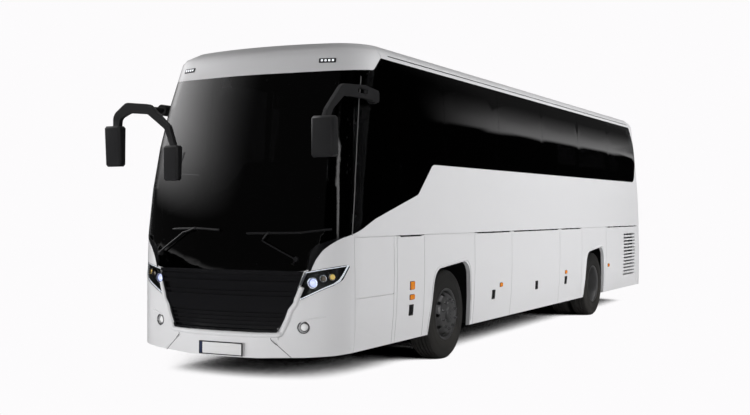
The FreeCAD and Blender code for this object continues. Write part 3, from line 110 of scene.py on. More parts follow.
def add(tree, kind, inputs=None, **values):
    """Adds one node to a tree, sets its plain properties and feeds its inputs."""
    node = tree.nodes.new(kind)
    for name, value in values.items():
        setattr(node, name, value)
    for name, value in (inputs or {}).items():
        feed(node, name, value)
    return node


def new_group(name, kind, sockets):
    """Node group, its input node and its output node; sockets are (name, kind, way, value)."""
    group = bpy.data.node_groups.new(name, kind)
    for label, socket_kind, way, value in sockets:
        made = group.interface.new_socket(name=label, in_out=way, socket_type=socket_kind)
        if value is not None:
            made.default_value = value
    return group, add(group, "NodeGroupInput"), add(group, "NodeGroupOutput")


# %% Grain group
FLOAT = "NodeSocketFloat"
grain_group, grain_in, grain_out = new_group("fine grain", "ShaderNodeTree", [
    ("Scale", FLOAT, "INPUT", 200.0), ("Height", FLOAT, "OUTPUT", None)])
place = add(grain_group, "ShaderNodeTexCoord")
noise = add(grain_group, "ShaderNodeTexNoise", {
    "Vector": place.outputs["Object"], "Scale": grain_in.outputs["Scale"], "Detail": 4.0})
feed(grain_out, "Height", noise)

# %% Road dust group
DUST_FADE_END = 0.25
dust_group, dust_in, dust_out = new_group("road dust", "ShaderNodeTree", [
    ("Top", FLOAT, "INPUT", 0.9), ("Amount", FLOAT, "INPUT", 0.5), ("Mask", FLOAT, "OUTPUT", None)])
place = add(dust_group, "ShaderNodeTexCoord")
split = add(dust_group, "ShaderNodeSeparateXYZ", {0: place.outputs["Object"]})
noise = add(dust_group, "ShaderNodeTexNoise", {
    "Vector": place.outputs["Object"], "Scale": 3.0, "Detail": 6.0})
fade = add(dust_group, "ShaderNodeMapRange", {
    "Value": split.outputs["Z"], "From Min": dust_in.outputs["Top"], "From Max": DUST_FADE_END})
speckle = add(dust_group, "ShaderNodeMath", {0: fade, 1: noise}, operation="MULTIPLY")
level = add(dust_group, "ShaderNodeMath", {0: speckle, 1: dust_in.outputs["Amount"]}, operation="MULTIPLY")
feed(dust_out, "Mask", level)
print("node groups:", [group.name for group in bpy.data.node_groups])

# %% [markdown]
# ## Finishes
# One function builds every opaque finish on a Principled shader: a base colour with a slight
# variation, a roughness, a grain that feeds a bump, and dust. Numbers that are the same all
# over a surface, such as coat or metallic, are set on the shader's own sockets.

# %% Opaque finishes
COAT_ROUGH, ROUGH_SPREAD = 0.05, 0.06
DUST_COLOUR, DUST_ROUGH = (0.30, 0.27, 0.23, 1), 0.8


def new_material(name):
    """Empty material with its node tree and its Principled shader."""
    material = bpy.data.materials.new(name)
    material.use_nodes = True
    return material, material.node_tree, material.node_tree.nodes["Principled BSDF"]


def finish(name, colour, rough, metallic=0.0, coat=0.0, grain=200.0, bump=0.0, vary=0.05,
           dust=0.0, dust_top=0.9):
    """Principled material with grain, colour variation and road dust."""
    material, tree, shader = new_material(name)
    for label, value in (("Metallic", metallic), ("Coat Weight", coat), ("Coat Roughness", COAT_ROUGH)):
        feed(shader, label, value)
    texture = add(tree, "ShaderNodeGroup", {"Scale": grain}, node_tree=grain_group)
    paint = add(tree, "ShaderNodeMix", {
        "Factor": texture, "A": (*[c * (1 - vary) for c in colour], 1),
        "B": (*[min(1, c * (1 + vary)) for c in colour], 1)}, data_type="RGBA")
    roughness = add(tree, "ShaderNodeMapRange", {
        "Value": texture, "To Min": max(0.0, rough - ROUGH_SPREAD), "To Max": min(1.0, rough + ROUGH_SPREAD)})
    if dust:
        mask = add(tree, "ShaderNodeGroup", {"Top": dust_top, "Amount": dust}, node_tree=dust_group)
        paint = add(tree, "ShaderNodeMix", {"Factor": mask, "A": paint, "B": DUST_COLOUR}, data_type="RGBA")
        roughness = add(tree, "ShaderNodeMix", {"Factor": mask, "A": roughness, "B": DUST_ROUGH})
    feed(shader, "Base Color", paint)
    feed(shader, "Roughness", roughness)
    if bump:
        relief = add(tree, "ShaderNodeBump", {"Height": texture, "Distance": bump, "Strength": 1.0})
        feed(shader, "Normal", relief)
    return material


FINISHES = {
    "body_paint": finish("body paint", (0.74, 0.74, 0.75), 0.34, coat=0.35, grain=6.0, vary=0.01,
                         dust=0.10, dust_top=0.75),
    "black_trim": finish("black trim", (0.012, 0.012, 0.013), 0.38, grain=600.0, bump=0.00008),
    "gloss_black": finish("gloss black", (0.006, 0.006, 0.007), 0.16, coat=0.4, grain=8.0),
    "satin_black": finish("satin black", (0.018, 0.018, 0.019), 0.42, grain=900.0, bump=0.00006),
    "frame_steel": finish("chassis paint", (0.03, 0.03, 0.033), 0.5, grain=60.0, bump=0.0003,
                          dust=0.5, dust_top=1.1),
    "cast_metal": finish("cast iron", (0.055, 0.053, 0.05), 0.7, metallic=0.6, grain=160.0,
                         bump=0.0008, dust=0.4, dust_top=1.1),
    "bellows_rubber": finish("bellows rubber", (0.02, 0.02, 0.02), 0.75, grain=300.0, bump=0.0002),
    "floor_plastic": finish("floor vinyl", (0.09, 0.095, 0.1), 0.6, grain=900.0, bump=0.0001,
                            vary=0.25),
    "seat_cloth": finish("seat cloth", (0.10, 0.10, 0.11), 0.85, grain=700.0, bump=0.0004, vary=0.3),
    "pale_plastic": finish("pale plastic", (0.45, 0.45, 0.44), 0.55, grain=800.0, bump=0.0001),
    "tyre_rubber": finish("tyre rubber", (0.014, 0.014, 0.014), 0.62, grain=260.0, bump=0.0002,
                          vary=0.3, dust=0.12, dust_top=1.2),
    "rim_steel": finish("wheel silver", (0.35, 0.35, 0.355), 0.38, metallic=0.9, grain=120.0,
                        bump=0.00005, dust=0.15, dust_top=1.0),
    "grey_trim": finish("grey seal", (0.16, 0.16, 0.16), 0.5, grain=400.0),
    "mirror_face": finish("mirror face", (0.55, 0.56, 0.58), 0.08, metallic=1.0, grain=30.0, vary=0.01),
    "bright_metal": finish("bright metal", (0.62, 0.62, 0.63), 0.25, metallic=1.0, grain=90.0),
    "lamp_chrome": finish("lamp chrome", (0.22, 0.22, 0.24), 0.25, metallic=1.0, grain=90.0),
    "plate_white": finish("blank plate", (0.72, 0.72, 0.72), 0.4, grain=500.0, bump=0.00003, vary=0.02),
    "plate_dark": finish("plate strip", (0.02, 0.03, 0.07), 0.4, grain=500.0),
    "red_lens": finish("red lens", (0.42, 0.012, 0.012), 0.2, coat=0.5, grain=40.0, vary=0.08),
    "amber_lens": finish("amber lens", (0.85, 0.26, 0.012), 0.22, coat=0.5, grain=40.0, vary=0.08),
}
print("opaque finishes:", len(FINISHES))


# %% Glass and lamp finishes
def glass(name, colour):
    """Clear or tinted glass; the tint is the shader's own base colour."""
    material, _, shader = new_material(name)
    for label, value in (("Base Color", (*colour, 1)), ("Roughness", 0.0),
                         ("Transmission Weight", 1.0), ("IOR", 1.45)):
        feed(shader, label, value)
    return material


def glowing(name, colour, strength, rough=0.15):
    """Lamp lens that glows as if lit from inside; on the fog lamp's reflector the glow is a painted sheen."""
    material = finish(name, colour, rough, coat=0.3, grain=50.0)
    shader = material.node_tree.nodes["Principled BSDF"]
    feed(shader, "Emission Color", (*colour, 1))
    feed(shader, "Emission Strength", strength)
    return material


FINISHES.update({
    "dark_glass": glass("tinted glass", (0.02, 0.02, 0.021)),
    "lamp_glass": glass("lamp glass", (0.95, 0.97, 1.0)),
    "light_guide": glowing("light guide", (0.92, 0.94, 0.98), 0.62, rough=0.3),
    # the fog reflector's faint glow is a painted sheen, standing in for the brightness of a chrome reflector
    "fog_reflector": glowing("fog reflector", (0.70, 0.70, 0.70), 0.30),
    "lit_lamp": glowing("lit projector", (0.66, 0.71, 1.0), 0.95),
    "dim_lamp": glowing("high beam", (0.20, 0.16, 0.12), 0.25),
    "amber_glow": glowing("indicator", (0.85, 0.60, 0.18), 0.55),
})


def dress(node, material):
    """Gives a frame node one finish."""
    data = nodes[node].data
    data.materials.clear()
    data.materials.append(material)


for entry in frame["record"]["subparts"]:
    dress(entry["node"], FINISHES[entry["material_slot"]])
dress("grille_panel", FINISHES["gloss_black"])
print("dressed", len(nodes), "nodes")

# %% [markdown]
# ## Smooth panels
# The frame's panels are meshes of flat triangles. Real bodywork is curved sheet, so light must
# slide over it without steps. The loose triangles are welded, and every edge whose faces turn by
# less than a set angle is shaded smooth. Door edges and creases turn by more and stay sharp.

# %% Smooth shading by angle
SMOOTH_BELOW, WELD_GAP = 28, 0.00002
smooth_group, smooth_in, smooth_out = new_group("smooth by angle", "GeometryNodeTree", [
    ("Geometry", "NodeSocketGeometry", way, None) for way in ("INPUT", "OUTPUT")])
faces_smooth = add(smooth_group, "GeometryNodeSetShadeSmooth", {"Geometry": smooth_in}, domain="FACE")
angle = add(smooth_group, "GeometryNodeInputMeshEdgeAngle")
limit = add(smooth_group, "FunctionNodeCompare", {"A": angle, "B": math.radians(SMOOTH_BELOW)},
            operation="LESS_THAN")
edges_smooth = add(smooth_group, "GeometryNodeSetShadeSmooth", {
    "Geometry": faces_smooth, "Shade Smooth": limit}, domain="EDGE")
feed(smooth_out, 0, edges_smooth)
for node in nodes.values():
    weld = node.modifiers.new("weld", "WELD")
    weld.merge_threshold = WELD_GAP
    smooth = node.modifiers.new("smooth", "NODES")
    smooth.node_group = smooth_group
print("smoothed", len(nodes), "nodes")

# %% [markdown]
# ## Shape helpers
# Every new piece is a bmesh shaped by operators and then handed to the scene: it rides on a body of the
# frame, takes the finish listed under a material slot's key, and hides the frame nodes that it replaces. Its
# object stays at the origin, so a finish in object coordinates stays put.


def object_from(shape, name):
    """Object made of a bmesh, which is freed."""
    data = bpy.data.meshes.new(name)
    shape.to_mesh(data)
    shape.free()
    made = bpy.data.objects.new(name, data)
    scene.collection.objects.link(made)
    return made


def joined_with(shape, other):
    """Adds another bmesh to a shape and frees it."""
    data = bpy.data.meshes.new("part")
    other.to_mesh(data)
    other.free()
    shape.from_mesh(data)
    bpy.data.meshes.remove(data)


def piece(name, shape, look, body="coach_body", stands_for=(), smooth=30):
    """Turns a bmesh into a named piece with a finish, riding on a body."""
    bmesh.ops.remove_doubles(shape, verts=shape.verts, dist=0.00001)
    bmesh.ops.recalc_face_normals(shape, faces=shape.faces)
    for face in shape.faces:
        face.smooth = True
    limit_angle = math.radians(smooth)
    for edge in shape.edges:
        edge.smooth = len(edge.link_faces) != 2 or edge.calc_face_angle(0) < limit_angle
    made = object_from(shape, name)
    made.data.materials.append(FINISHES[look])
    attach(made, body)
    if stands_for:
        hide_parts(*stands_for)
    return made


# %% Basic shapes
NUT_TAPER = 0.82


def block(shape, low, high, bevel, segments=2):
    """Box between two corners, with bevelled edges."""
    middle = (Vector(low) + Vector(high)) / 2
    span = Vector(high) - Vector(low)
    place = Matrix.Translation(middle) @ Matrix.Diagonal((*span, 1))
    verts = bmesh.ops.create_cube(shape, size=1.0, matrix=place)["verts"]
    edges = {edge for vert in verts for edge in vert.link_edges}
    bmesh.ops.bevel(shape, geom=list(edges), offset=bevel, offset_type="OFFSET",
                    segments=segments, profile=0.5, affect="EDGES", material=-1)


def mirrored(points, way):
    """Flat points, turned over from left to right where way is -1."""
    return [(way * across, other) for across, other in points]


def turned(shape, profile, centre, steps=96, closed=True):
    """Ring or disc spun round the X axis from a profile of (across, radius) points."""
    verts = [shape.verts.new((centre.x + across, centre.y, centre.z + radius)) for across, radius in profile]
    edges = [shape.edges.new(pair) for pair in zip(verts, verts[1:])]
    if closed:
        edges.append(shape.edges.new((verts[-1], verts[0])))
    bmesh.ops.spin(shape, geom=verts + edges, cent=centre, axis=(1, 0, 0), angle=math.tau,
                   steps=steps, use_merge=True, use_duplicate=False)


def pegs(shape, centre, middle, ring, count, radius, length, sides, way=1, taper=1.0, start=0.0):
    """Ring of prisms along X round a wheel's centre; middle is how far across they stand."""
    for index in range(count):
        turn = math.tau * (index + start) / count
        place = centre + Vector((middle, ring * math.sin(turn), ring * math.cos(turn)))
        matrix = Matrix.Translation(place) @ Matrix.Rotation(math.radians(90) * way, 4, "Y")
        bmesh.ops.create_cone(shape, cap_ends=True, segments=sides, radius1=radius,
                              radius2=radius * taper, depth=length, matrix=matrix)


# %% [markdown]
# ## Tyres
# A coach tyre is a ring of rubber with rounded shoulders, ribs between grooves that run round it,
# and short notches across its shoulders. Its outline is drawn once and spun round the axle, and
# every other step of the shoulder is then sunk to make the notches.

# %% Tyre outline
GROOVE_DEPTH, GROOVE_HALF, GROOVE_FLOOR = 0.013, 0.006, 0.004
GROOVES = (0.068, 0.0227)
sidewall = [(0.113, RIM_RADIUS + 0.002), (0.127, RIM_RADIUS + 0.012), (0.133, RIM_RADIUS + 0.030),
            (0.135, RIM_RADIUS + 0.036), (0.141, 0.352), (TYRE_HALF - 0.001, 0.395),
            (TYRE_HALF - 0.001, 0.402), (0.142, 0.408), (0.141, 0.450), (0.136, 0.474),
            (0.127, 0.494), (0.112, WHEEL_RADIUS - 0.007), (0.097, WHEEL_RADIUS - 0.002)]
half = sidewall + [(middle + across, WHEEL_RADIUS - sunk) for middle in GROOVES for across, sunk in (
    (GROOVE_HALF, 0), (GROOVE_FLOOR, GROOVE_DEPTH), (-GROOVE_FLOOR, GROOVE_DEPTH), (-GROOVE_HALF, 0))]
tyre_profile = half + mirrored(half[::-1], -1)
print("tyre outline points:", len(tyre_profile))

# %% Tyre mesh
TYRE_STEPS, NOTCH_FROM, NOTCH_TO = 120, 0.098, 0.118
TYRE_SMOOTH = 35


def tyre(shape, centre):
    """One tyre: spun outline with notched shoulders."""
    before = set(shape.faces)
    turned(shape, tyre_profile, centre, TYRE_STEPS)
    notches = []
    for face in shape.faces:
        if face in before:
            continue
        middle = face.calc_center_median() - centre
        turn = math.atan2(middle.y, middle.z) % math.tau
        if NOTCH_FROM < abs(middle.x) < NOTCH_TO and int(turn / math.tau * TYRE_STEPS) % 2 == 0:
            notches.append(face)
    bmesh.ops.inset_individual(shape, faces=notches, thickness=0.002, depth=-0.006)


FRONT_WHEELS, REAR_WHEELS = {}, {}
for side, _ in SIDES:
    low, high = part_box("front_tyre_" + side)
    FRONT_WHEELS[side] = (low + high) / 2
    shape = bmesh.new()
    tyre(shape, FRONT_WHEELS[side])
    piece("tyre_front_" + side, shape, "tyre_rubber", "front_wheel_" + side, ["front_tyre_" + side],
          TYRE_SMOOTH)
for side, _ in SIDES:
    low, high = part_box("rear_tyres_" + side)
    middle = (low + high) / 2
    rings = [Vector((x, middle.y, middle.z)) for x in (low.x + TYRE_HALF, high.x - TYRE_HALF)]
    REAR_WHEELS[side] = sorted(rings, key=lambda ring: -abs(ring.x))
    shape = bmesh.new()
    for ring in rings:
        tyre(shape, ring)
    piece("tyres_rear_" + side, shape, "tyre_rubber", "rear_wheels_" + side, ["rear_tyres_" + side],
          TYRE_SMOOTH)
print("tyres:", len(FRONT_WHEELS) + 2 * len(REAR_WHEELS))

# %% [markdown]
# ## Wheels
# The front wheel's steel disc bulges outward past its ring of hand holes to ten nuts and a hub
# cap; the rear one is the same disc turned round, deep behind its rim, with the axle's hub
# standing out of it. Each is spun from one outline, and a boolean cuts the hand holes, since
# round holes in a curved disc are hard to make by moving faces.

# %% Rim outlines
FLANGE = [(0.112, 0.276), (0.121, 0.283), (0.124, 0.296), (0.130, 0.299), (0.134, 0.294), (0.131, 0.281),
          (0.121, 0.270), (0.110, 0.264)]
DISC_OUT = [(0.074, 0.262), (0.078, 0.256), (0.100, 0.247), (0.128, 0.234), (0.148, 0.220), (0.158, 0.208),
            (0.162, 0.196), (0.162, 0.102), (0.166, 0.098), (0.186, 0.094), (0.196, 0.086), (0.202, 0.070),
            (0.205, 0.056), (0.205, 0.0)]
DISC_BACK = [(0.194, 0.0), (0.194, 0.050), (0.186, 0.076), (0.150, 0.086), (0.150, 0.196), (0.146, 0.204),
             (0.134, 0.214), (0.112, 0.228), (0.084, 0.240), (0.064, 0.250), (0.062, 0.262)]
DISH_OUT = [(-0.104, 0.262), (-0.106, 0.256), (-0.112, 0.246), (-0.126, 0.232), (-0.140, 0.218),
            (-0.148, 0.206), (-0.150, 0.196), (-0.150, 0.112)]
DISH_BACK = [(-0.162, 0.112), (-0.162, 0.200), (-0.152, 0.216), (-0.136, 0.234), (-0.120, 0.250),
             (-0.116, 0.262)]
HUB = [(-0.165, 0.0), (-0.165, 0.108), (-0.060, 0.108), (-0.052, 0.104), (-0.048, 0.096), (-0.030, 0.094),
       (-0.014, 0.088), (-0.010, 0.080), (-0.010, 0.0)]
BARREL = mirrored(FLANGE[::-1], -1)
FRONT_RIM = FLANGE + DISC_OUT + DISC_BACK + BARREL
REAR_RIM = FLANGE + DISH_OUT + DISH_BACK + BARREL
FRONT_DISC_SPAN, REAR_DISC_SPAN = (0.05, 0.17), (-0.19, -0.10)
HOLE_RING, HOLE_RADIUS, HAND_HOLES = 0.234, 0.021, 10
# columns: seat across, ring's radius, count, nut's radius, length, sides
FRONT_NUTS = [(0.162, 0.1675, 10, 0.019, 0.012, 16), (0.170, 0.1675, 10, 0.0165, 0.026, 6),
              (0.200, 0.052, 8, 0.007, 0.008, 6)]
REAR_NUTS = [(-0.150, 0.1675, 10, 0.0175, 0.026, 6), (-0.010, 0.062, 10, 0.007, 0.006, 6)]


# %% Rim mesh
def hand_holes(made, centre, low, high):
    """Cuts a ring of round holes through a wheel's disc, between two distances across."""
    cutter = bmesh.new()
    pegs(cutter, centre, (low + high) / 2, HOLE_RING, HAND_HOLES, HOLE_RADIUS, high - low, 20, start=0.5)
    tool = object_from(cutter, "holes")
    cut = made.modifiers.new("hand holes", "BOOLEAN")
    cut.object = tool
    cut.solver = "EXACT"
    bpy.context.view_layer.update()
    made.data = bpy.data.meshes.new_from_object(
        made.evaluated_get(bpy.context.evaluated_depsgraph_get()))
    made.modifiers.clear()
    bpy.data.objects.remove(tool)


def wheel(names, outlines, centre, disc_span, nut_rows, way):
    """Rim with its hand holes and nuts; names are the rim, the nuts, the body and the frame's rim."""
    rim_name, nuts_name, body, stand = names
    shape = bmesh.new()
    for profile, middle, facing, closed in outlines:
        turned(shape, mirrored(profile, facing), middle, closed=closed)
    rim = piece(rim_name, shape, "rim_steel", body, [stand], 32)
    hand_holes(rim, centre, *sorted(way * across for across in disc_span))
    shape = bmesh.new()
    for across, ring, count, radius, length, sides in nut_rows:
        middle = way * across + way * length / 2
        pegs(shape, centre, middle, ring, count, radius, length, sides, way, NUT_TAPER)
    piece(nuts_name, shape, "bright_metal", body)


for side, way in SIDES:
    centre = FRONT_WHEELS[side]
    wheel(["rim_front_" + side, "nuts_front_" + side, "front_wheel_" + side, "front_rim_" + side],
          [(FRONT_RIM, centre, way, True)], centre, FRONT_DISC_SPAN, FRONT_NUTS, way)
for side, way in SIDES:
    outer, inner = REAR_WHEELS[side]
    wheel(["rims_rear_" + side, "nuts_rear_" + side, "rear_wheels_" + side, "rear_rims_" + side],
          [(REAR_RIM, outer, way, True), (REAR_RIM, inner, -way, True), (HUB, outer, way, False)],
          outer, REAR_DISC_SPAN, REAR_NUTS, way)
print("wheels dressed")

# %% [markdown]
# ## Finding the skin
# Lamps, latches and trim sit on panels that curve and lean. A ray sent at the coach from outside
# gives the point where it meets the skin and the way the skin faces there, so each small piece
# can be set square to its own panel.

# %% Rays on the skin
NOT_SKIN = ("tyre", "rim", "mirror", "wiper", "seat", "dash", "axle", "knuckle", "rod", "spring", "deck",
            "housing", "frame", "rack", "block", "bay", "door_arm")
joined = bmesh.new()
for name, node in nodes.items():
    if not any(word in name for word in NOT_SKIN):
        joined.from_mesh(node.data)
SKIN = BVHTree.FromBMesh(joined)
joined.free()


def onto(point, heading):
    """Point and outward normal where a ray first meets the skin."""
    hit, normal, _, _ = SKIN.ray_cast(Vector(point), Vector(heading))
    if hit is None:
        raise RuntimeError("no skin at %s" % (tuple(point),))
    return hit, normal if normal.dot(Vector(heading)) < 0 else -normal


def front(x, z):
    """Skin met from ahead at a place across and up."""
    return onto((x, NOSE_Y - 1, z), (0, 1, 0))


def flank(way, back, z):
    """Skin met from one side, at a distance behind the nose and a height."""
    return onto((3 * way, NOSE_Y + back, z), (-way, 0, 0))


def tail(x, z):
    """Skin met from behind."""
    return onto((x, REAR_Y + 1, z), (0, -1, 0))


print("nose skin at", [round(c, 3) for c in front(0.0, 0.5)[0]])

# %% Small pieces set on the skin
SUNK = 0.002


def seat_on(hit, normal):
    """Matrix that stands a piece on the skin: its Z looks outward, its Y upward."""
    across = UP.cross(normal).normalized()
    up = normal.cross(across).normalized()
    return Matrix.Translation(hit) @ Matrix((across, up, normal)).transposed().to_4x4()


def plaque(shape, spot, wide, tall, proud, bevel, sunk=SUNK, segments=2):
    """Bevelled plate on the skin, standing proud of it."""
    inner = bmesh.new()
    block(inner, (-wide / 2, -tall / 2, -sunk), (wide / 2, tall / 2, proud), bevel, segments)
    inner.transform(seat_on(*spot))
    joined_with(shape, inner)


def plaques(name, look, rows, body="coach_body"):
    """Piece made of bevelled plates, one for each row of a plaque's values."""
    shape = bmesh.new()
    for row in rows:
        plaque(shape, *row)
    piece(name, shape, look, body)


def disc(shape, spot, radius, proud, segments, taper=0.85):
    """Round button on the skin."""
    matrix = seat_on(*spot) @ Matrix.Translation((0, 0, (proud - SUNK) / 2))
    bmesh.ops.create_cone(shape, cap_ends=True, segments=segments, radius1=radius, radius2=radius * taper,
                          depth=proud + SUNK, matrix=matrix)


# %% [markdown]
# ## Side lamps and latches
# Amber marker lamps run along both flanks low down, and each luggage flap has a square latch
# with a finger pull. They ride on the panel they are fixed to, so they lift with it.

# %% Side lamps and latches
# columns: distance behind the nose, up, wide, tall
FLANK_LAMPS = {"service_flap": [(1.685, 0.910, 0.10, 0.085), (1.685, 0.787, 0.105, 0.052)],
               "luggage_flap_{side}_1": [(4.344, 0.760, 0.085, 0.05)],
               "luggage_flap_{side}_3": [(7.090, 0.788, 0.085, 0.05)],
               "coach_body": [(9.490, 0.788, 0.085, 0.05)]}
LATCHES = {"service_flap": (1.675, 0.649), "luggage_flap_{side}_1": (4.086, 0.652),
           "luggage_flap_{side}_2": (5.744, 0.672), "luggage_flap_{side}_3": (7.090, 0.667)}
LAMP_BORDER = 0.008
# columns: shift up, wide, tall, proud, bevel
LATCH_PARTS = [(0.0, 0.105, 0.118, 0.006, 0.005), (0.018, 0.070, 0.030, 0.011, 0.004),
               (-0.026, 0.028, 0.028, 0.012, 0.006)]


def on_side(table, side):
    """Rows of a table for one side, with their body and name; only the left has a service flap."""
    for pattern, row in table.items():
        body = pattern.format(side=side)
        if (body, side) != ("service_flap", "right"):
            yield row, body, body if side in body else body + "_" + side


lamp_count = 0
for side, way in SIDES:
    for lamps, body, tag in on_side(FLANK_LAMPS, side):
        bases = [(flank(way, back, z), wide + LAMP_BORDER, tall + LAMP_BORDER, 0.004, 0.004)
                 for back, z, wide, tall in lamps]
        lenses = [(flank(way, back, z), wide, tall, 0.014, 0.007, SUNK, 3) for back, z, wide, tall in lamps]
        plaques("lamp_base_" + tag, "black_trim", bases, body)
        plaques("marker_lamp_" + tag, "amber_lens", lenses, body)
        lamp_count += len(lamps)
    for (back, z), body, tag in on_side(LATCHES, side):
        hit, normal = flank(way, back, z)
        rows = [((hit + shift * UP, normal), *sizes) for shift, *sizes in LATCH_PARTS]
        plaques("latch_" + tag, "black_trim", rows, body)
print("marker lamps:", lamp_count)

# %% [markdown]
# ## Skins and bands
# Headlamp lenses, the black band round the grille and the black cheeks beside the windscreen's
# foot all follow the rounded nose. Each is drawn flat, as seen from ahead, then its points are
# carried back onto the skin, a little proud of it or behind it.

# %% Flat outlines carried onto the nose
NEAR_ACROSS, NEAR_UP, FACING_AHEAD = 0.02, 0.03, 0.7
REFINEMENTS = 4


def even_front(x, z):
    """The nose as if the recesses near a place were filled: the foremost of nearby tangent planes."""
    best = None
    for across in (-NEAR_ACROSS, 0, NEAR_ACROSS):
        for up in (-NEAR_UP, 0, NEAR_UP):
            hit, normal, _, _ = SKIN.ray_cast(Vector((x + across, NOSE_Y - 1, z + up)), Vector((0, 1, 0)))
            if hit is not None and abs(normal.y) > FACING_AHEAD:
                normal = -normal if normal.y > 0 else normal
                depth = hit.y - (normal.x * (x - hit.x) + normal.z * (z - hit.z)) / normal.y
                if best is None or depth < best[0].y:
                    best = Vector((x, depth, z)), normal
    return best or front(x, z)


def carried(verts, shift, finder):
    """Moves flat points (x, 0, z) back onto the nose, proud of it by a distance."""
    for vert in verts:
        hit, normal = finder(vert.co.x, vert.co.z)
        vert.co = hit + normal * shift


def loop_of(shape, points):
    """Closed loop of edges through flat points (across, up)."""
    verts = [shape.verts.new((x, 0, z)) for x, z in points]
    return [shape.edges.new(pair) for pair in zip(verts, verts[1:] + verts[:1])]


def only_verts(made):
    """Vertices among the parts that an operator made."""
    return [part for part in made["geom"] if isinstance(part, bmesh.types.BMVert)]


def nose_patch(outlines, shift, thick, lip=None, step=0.03, finder=front):
    """Patch of the nose inside an outline, less any further outlines, as a bmesh.

    With a lip, the patch's edge is drawn out to that distance from the skin, as a bowl's wall.
    """
    shape = bmesh.new()
    for points in outlines:
        bmesh.ops.subdivide_edges(shape, edges=loop_of(shape, points), cuts=3)
    bmesh.ops.triangle_fill(shape, use_beauty=True, edges=shape.edges[:])
    for _ in range(REFINEMENTS):
        long_edges = [edge for edge in shape.edges if edge.calc_length() > step and not edge.is_boundary]
        bmesh.ops.subdivide_edges(shape, edges=long_edges, cuts=1)
        bmesh.ops.triangulate(shape, faces=shape.faces[:])
    rim = []
    if lip is not None:
        edges = [edge for edge in shape.edges if edge.is_boundary]
        rim = only_verts(bmesh.ops.extrude_edge_only(shape, edges=edges))
    chosen = set(rim)
    carried([vert for vert in shape.verts if vert not in chosen], shift, finder)
    carried(rim, lip, finder)
    bmesh.ops.recalc_face_normals(shape, faces=shape.faces[:])
    bmesh.ops.solidify(shape, geom=shape.faces[:], thickness=thick)
    bmesh.ops.recalc_face_normals(shape, faces=shape.faces[:])
    return shape


def both_halves(points):
    """Closed outline from its left half, listed from the top middle to the bottom middle."""
    return points + [(-x, z) for x, z in reversed(points) if x > 0]


def on_its_side(shape, way):
    """A shape drawn for the coach's left, turned over to its right where way is -1."""
    if way < 0:
        bmesh.ops.scale(shape, vec=(-1, 1, 1), verts=shape.verts[:])
        bmesh.ops.reverse_faces(shape, faces=shape.faces[:])
    return shape


# %% [markdown]
# ## Black nose band
# The windscreen and grille read as one dark surface. A gloss black band fills the strip between
# them and the edge beside the headlamps.

# %% Band round the grille
BAND_OUTER = [(0, 1.130), (0.45, 1.130), (0.864, 1.124), (0.820, 0.992), (0.774, 0.870), (0.764, 0.822),
              (0.714, 0.758), (0.684, 0.674), (0.640, 0.580), (0.612, 0.534), (0.42, 0.530), (0, 0.530)]
BAND_INNER = [(0, 1.092), (0.45, 1.092), (0.836, 1.092), (0.786, 0.968), (0.742, 0.856), (0.724, 0.812),
              (0.682, 0.742), (0.654, 0.668), (0.616, 0.582), (0.596, 0.558), (0.42, 0.556), (0, 0.556)]
band = nose_patch([both_halves(BAND_OUTER), both_halves(BAND_INNER)], 0.0025, 0.003, lip=-0.024,
                  finder=even_front)
piece("nose_band", band, "gloss_black")
print("nose band done")

# %% Black cheeks beside the windscreen's foot
CHEEK = [(0.905, 1.127), (0.930, 1.132), (0.940, 1.160), (0.972, 1.237), (1.032, 1.325), (1.088, 1.375),
         (1.150, 1.422), (1.200, 1.457), (1.190, 1.463), (1.128, 1.435), (1.038, 1.400), (0.966, 1.371),
         (0.918, 1.315), (0.908, 1.215)]
for side, way in SIDES:
    cheek = nose_patch([CHEEK], 0.002, 0.002, step=0.02)
    piece("nose_cheek_" + side, on_its_side(cheek, way), "gloss_black", smooth=40)
print("nose cheeks done")

# %% [markdown]
# ## Headlamps
# Each headlamp is a dark bowl under a clear lens that wraps round the corner. Inside sit a low
# beam projector, a small high beam and an amber indicator, and a pale light guide edges the lens.

# %% Headlamp
LAMP_EDGE = [(0.872, 1.117), (1.018, 1.146), (1.146, 1.168), (1.230, 1.187), (1.212, 1.130), (1.196, 1.078),
             (1.175, 1.030), (1.136, 0.997), (1.028, 0.946), (0.915, 0.891), (0.797, 0.836), (0.774, 0.872)]
LAMP_INSIDE = [(0.882, 1.108), (1.020, 1.135), (1.146, 1.157), (1.215, 1.172), (1.200, 1.128), (1.184, 1.084),
               (1.163, 1.042), (1.128, 1.009), (1.022, 0.958), (0.912, 0.903), (0.803, 0.849)]
HEADLAMP_LOOKS = {"headlamp_lens_": "lamp_glass", "headlamp_bowl_": "black_trim",
                  "headlamp_guide_": "light_guide", "headlamp_rings_": "lamp_chrome",
                  "low_beam_": "lit_lamp", "high_beam_": "dim_lamp", "indicator_": "amber_glow"}
# columns: across, up, depth behind the lens, radius, piece that holds its dome
UNITS = [(0.938, 1.012, 0.040, 0.052, "low_beam_"), (1.041, 1.057, 0.035, 0.034, "high_beam_"),
         (1.117, 1.071, 0.030, 0.034, "indicator_")]
DOME_SHARE, DOME_FLAT, DOME_SUNK, PULL_AHEAD = 0.72, 0.45, 0.018, 1.2


def round_lamp(place, profile, steps, ring_shape, lens_shape, radius, segments, flat, sunk):
    """Reflector ring spun from a profile and a flattened domed lens, both standing on a matrix."""
    ring, dome = bmesh.new(), bmesh.new()
    turned(ring, profile, Vector(), steps)
    ring.transform(place @ Matrix.Rotation(math.radians(-90), 4, "Y"))
    joined_with(ring_shape, ring)
    bmesh.ops.create_uvsphere(dome, u_segments=segments, v_segments=segments // 2, radius=radius)
    bmesh.ops.scale(dome, vec=(1, 1, flat), verts=dome.verts[:])
    dome.transform(place @ Matrix.Translation((0, 0, -sunk)))
    joined_with(lens_shape, dome)


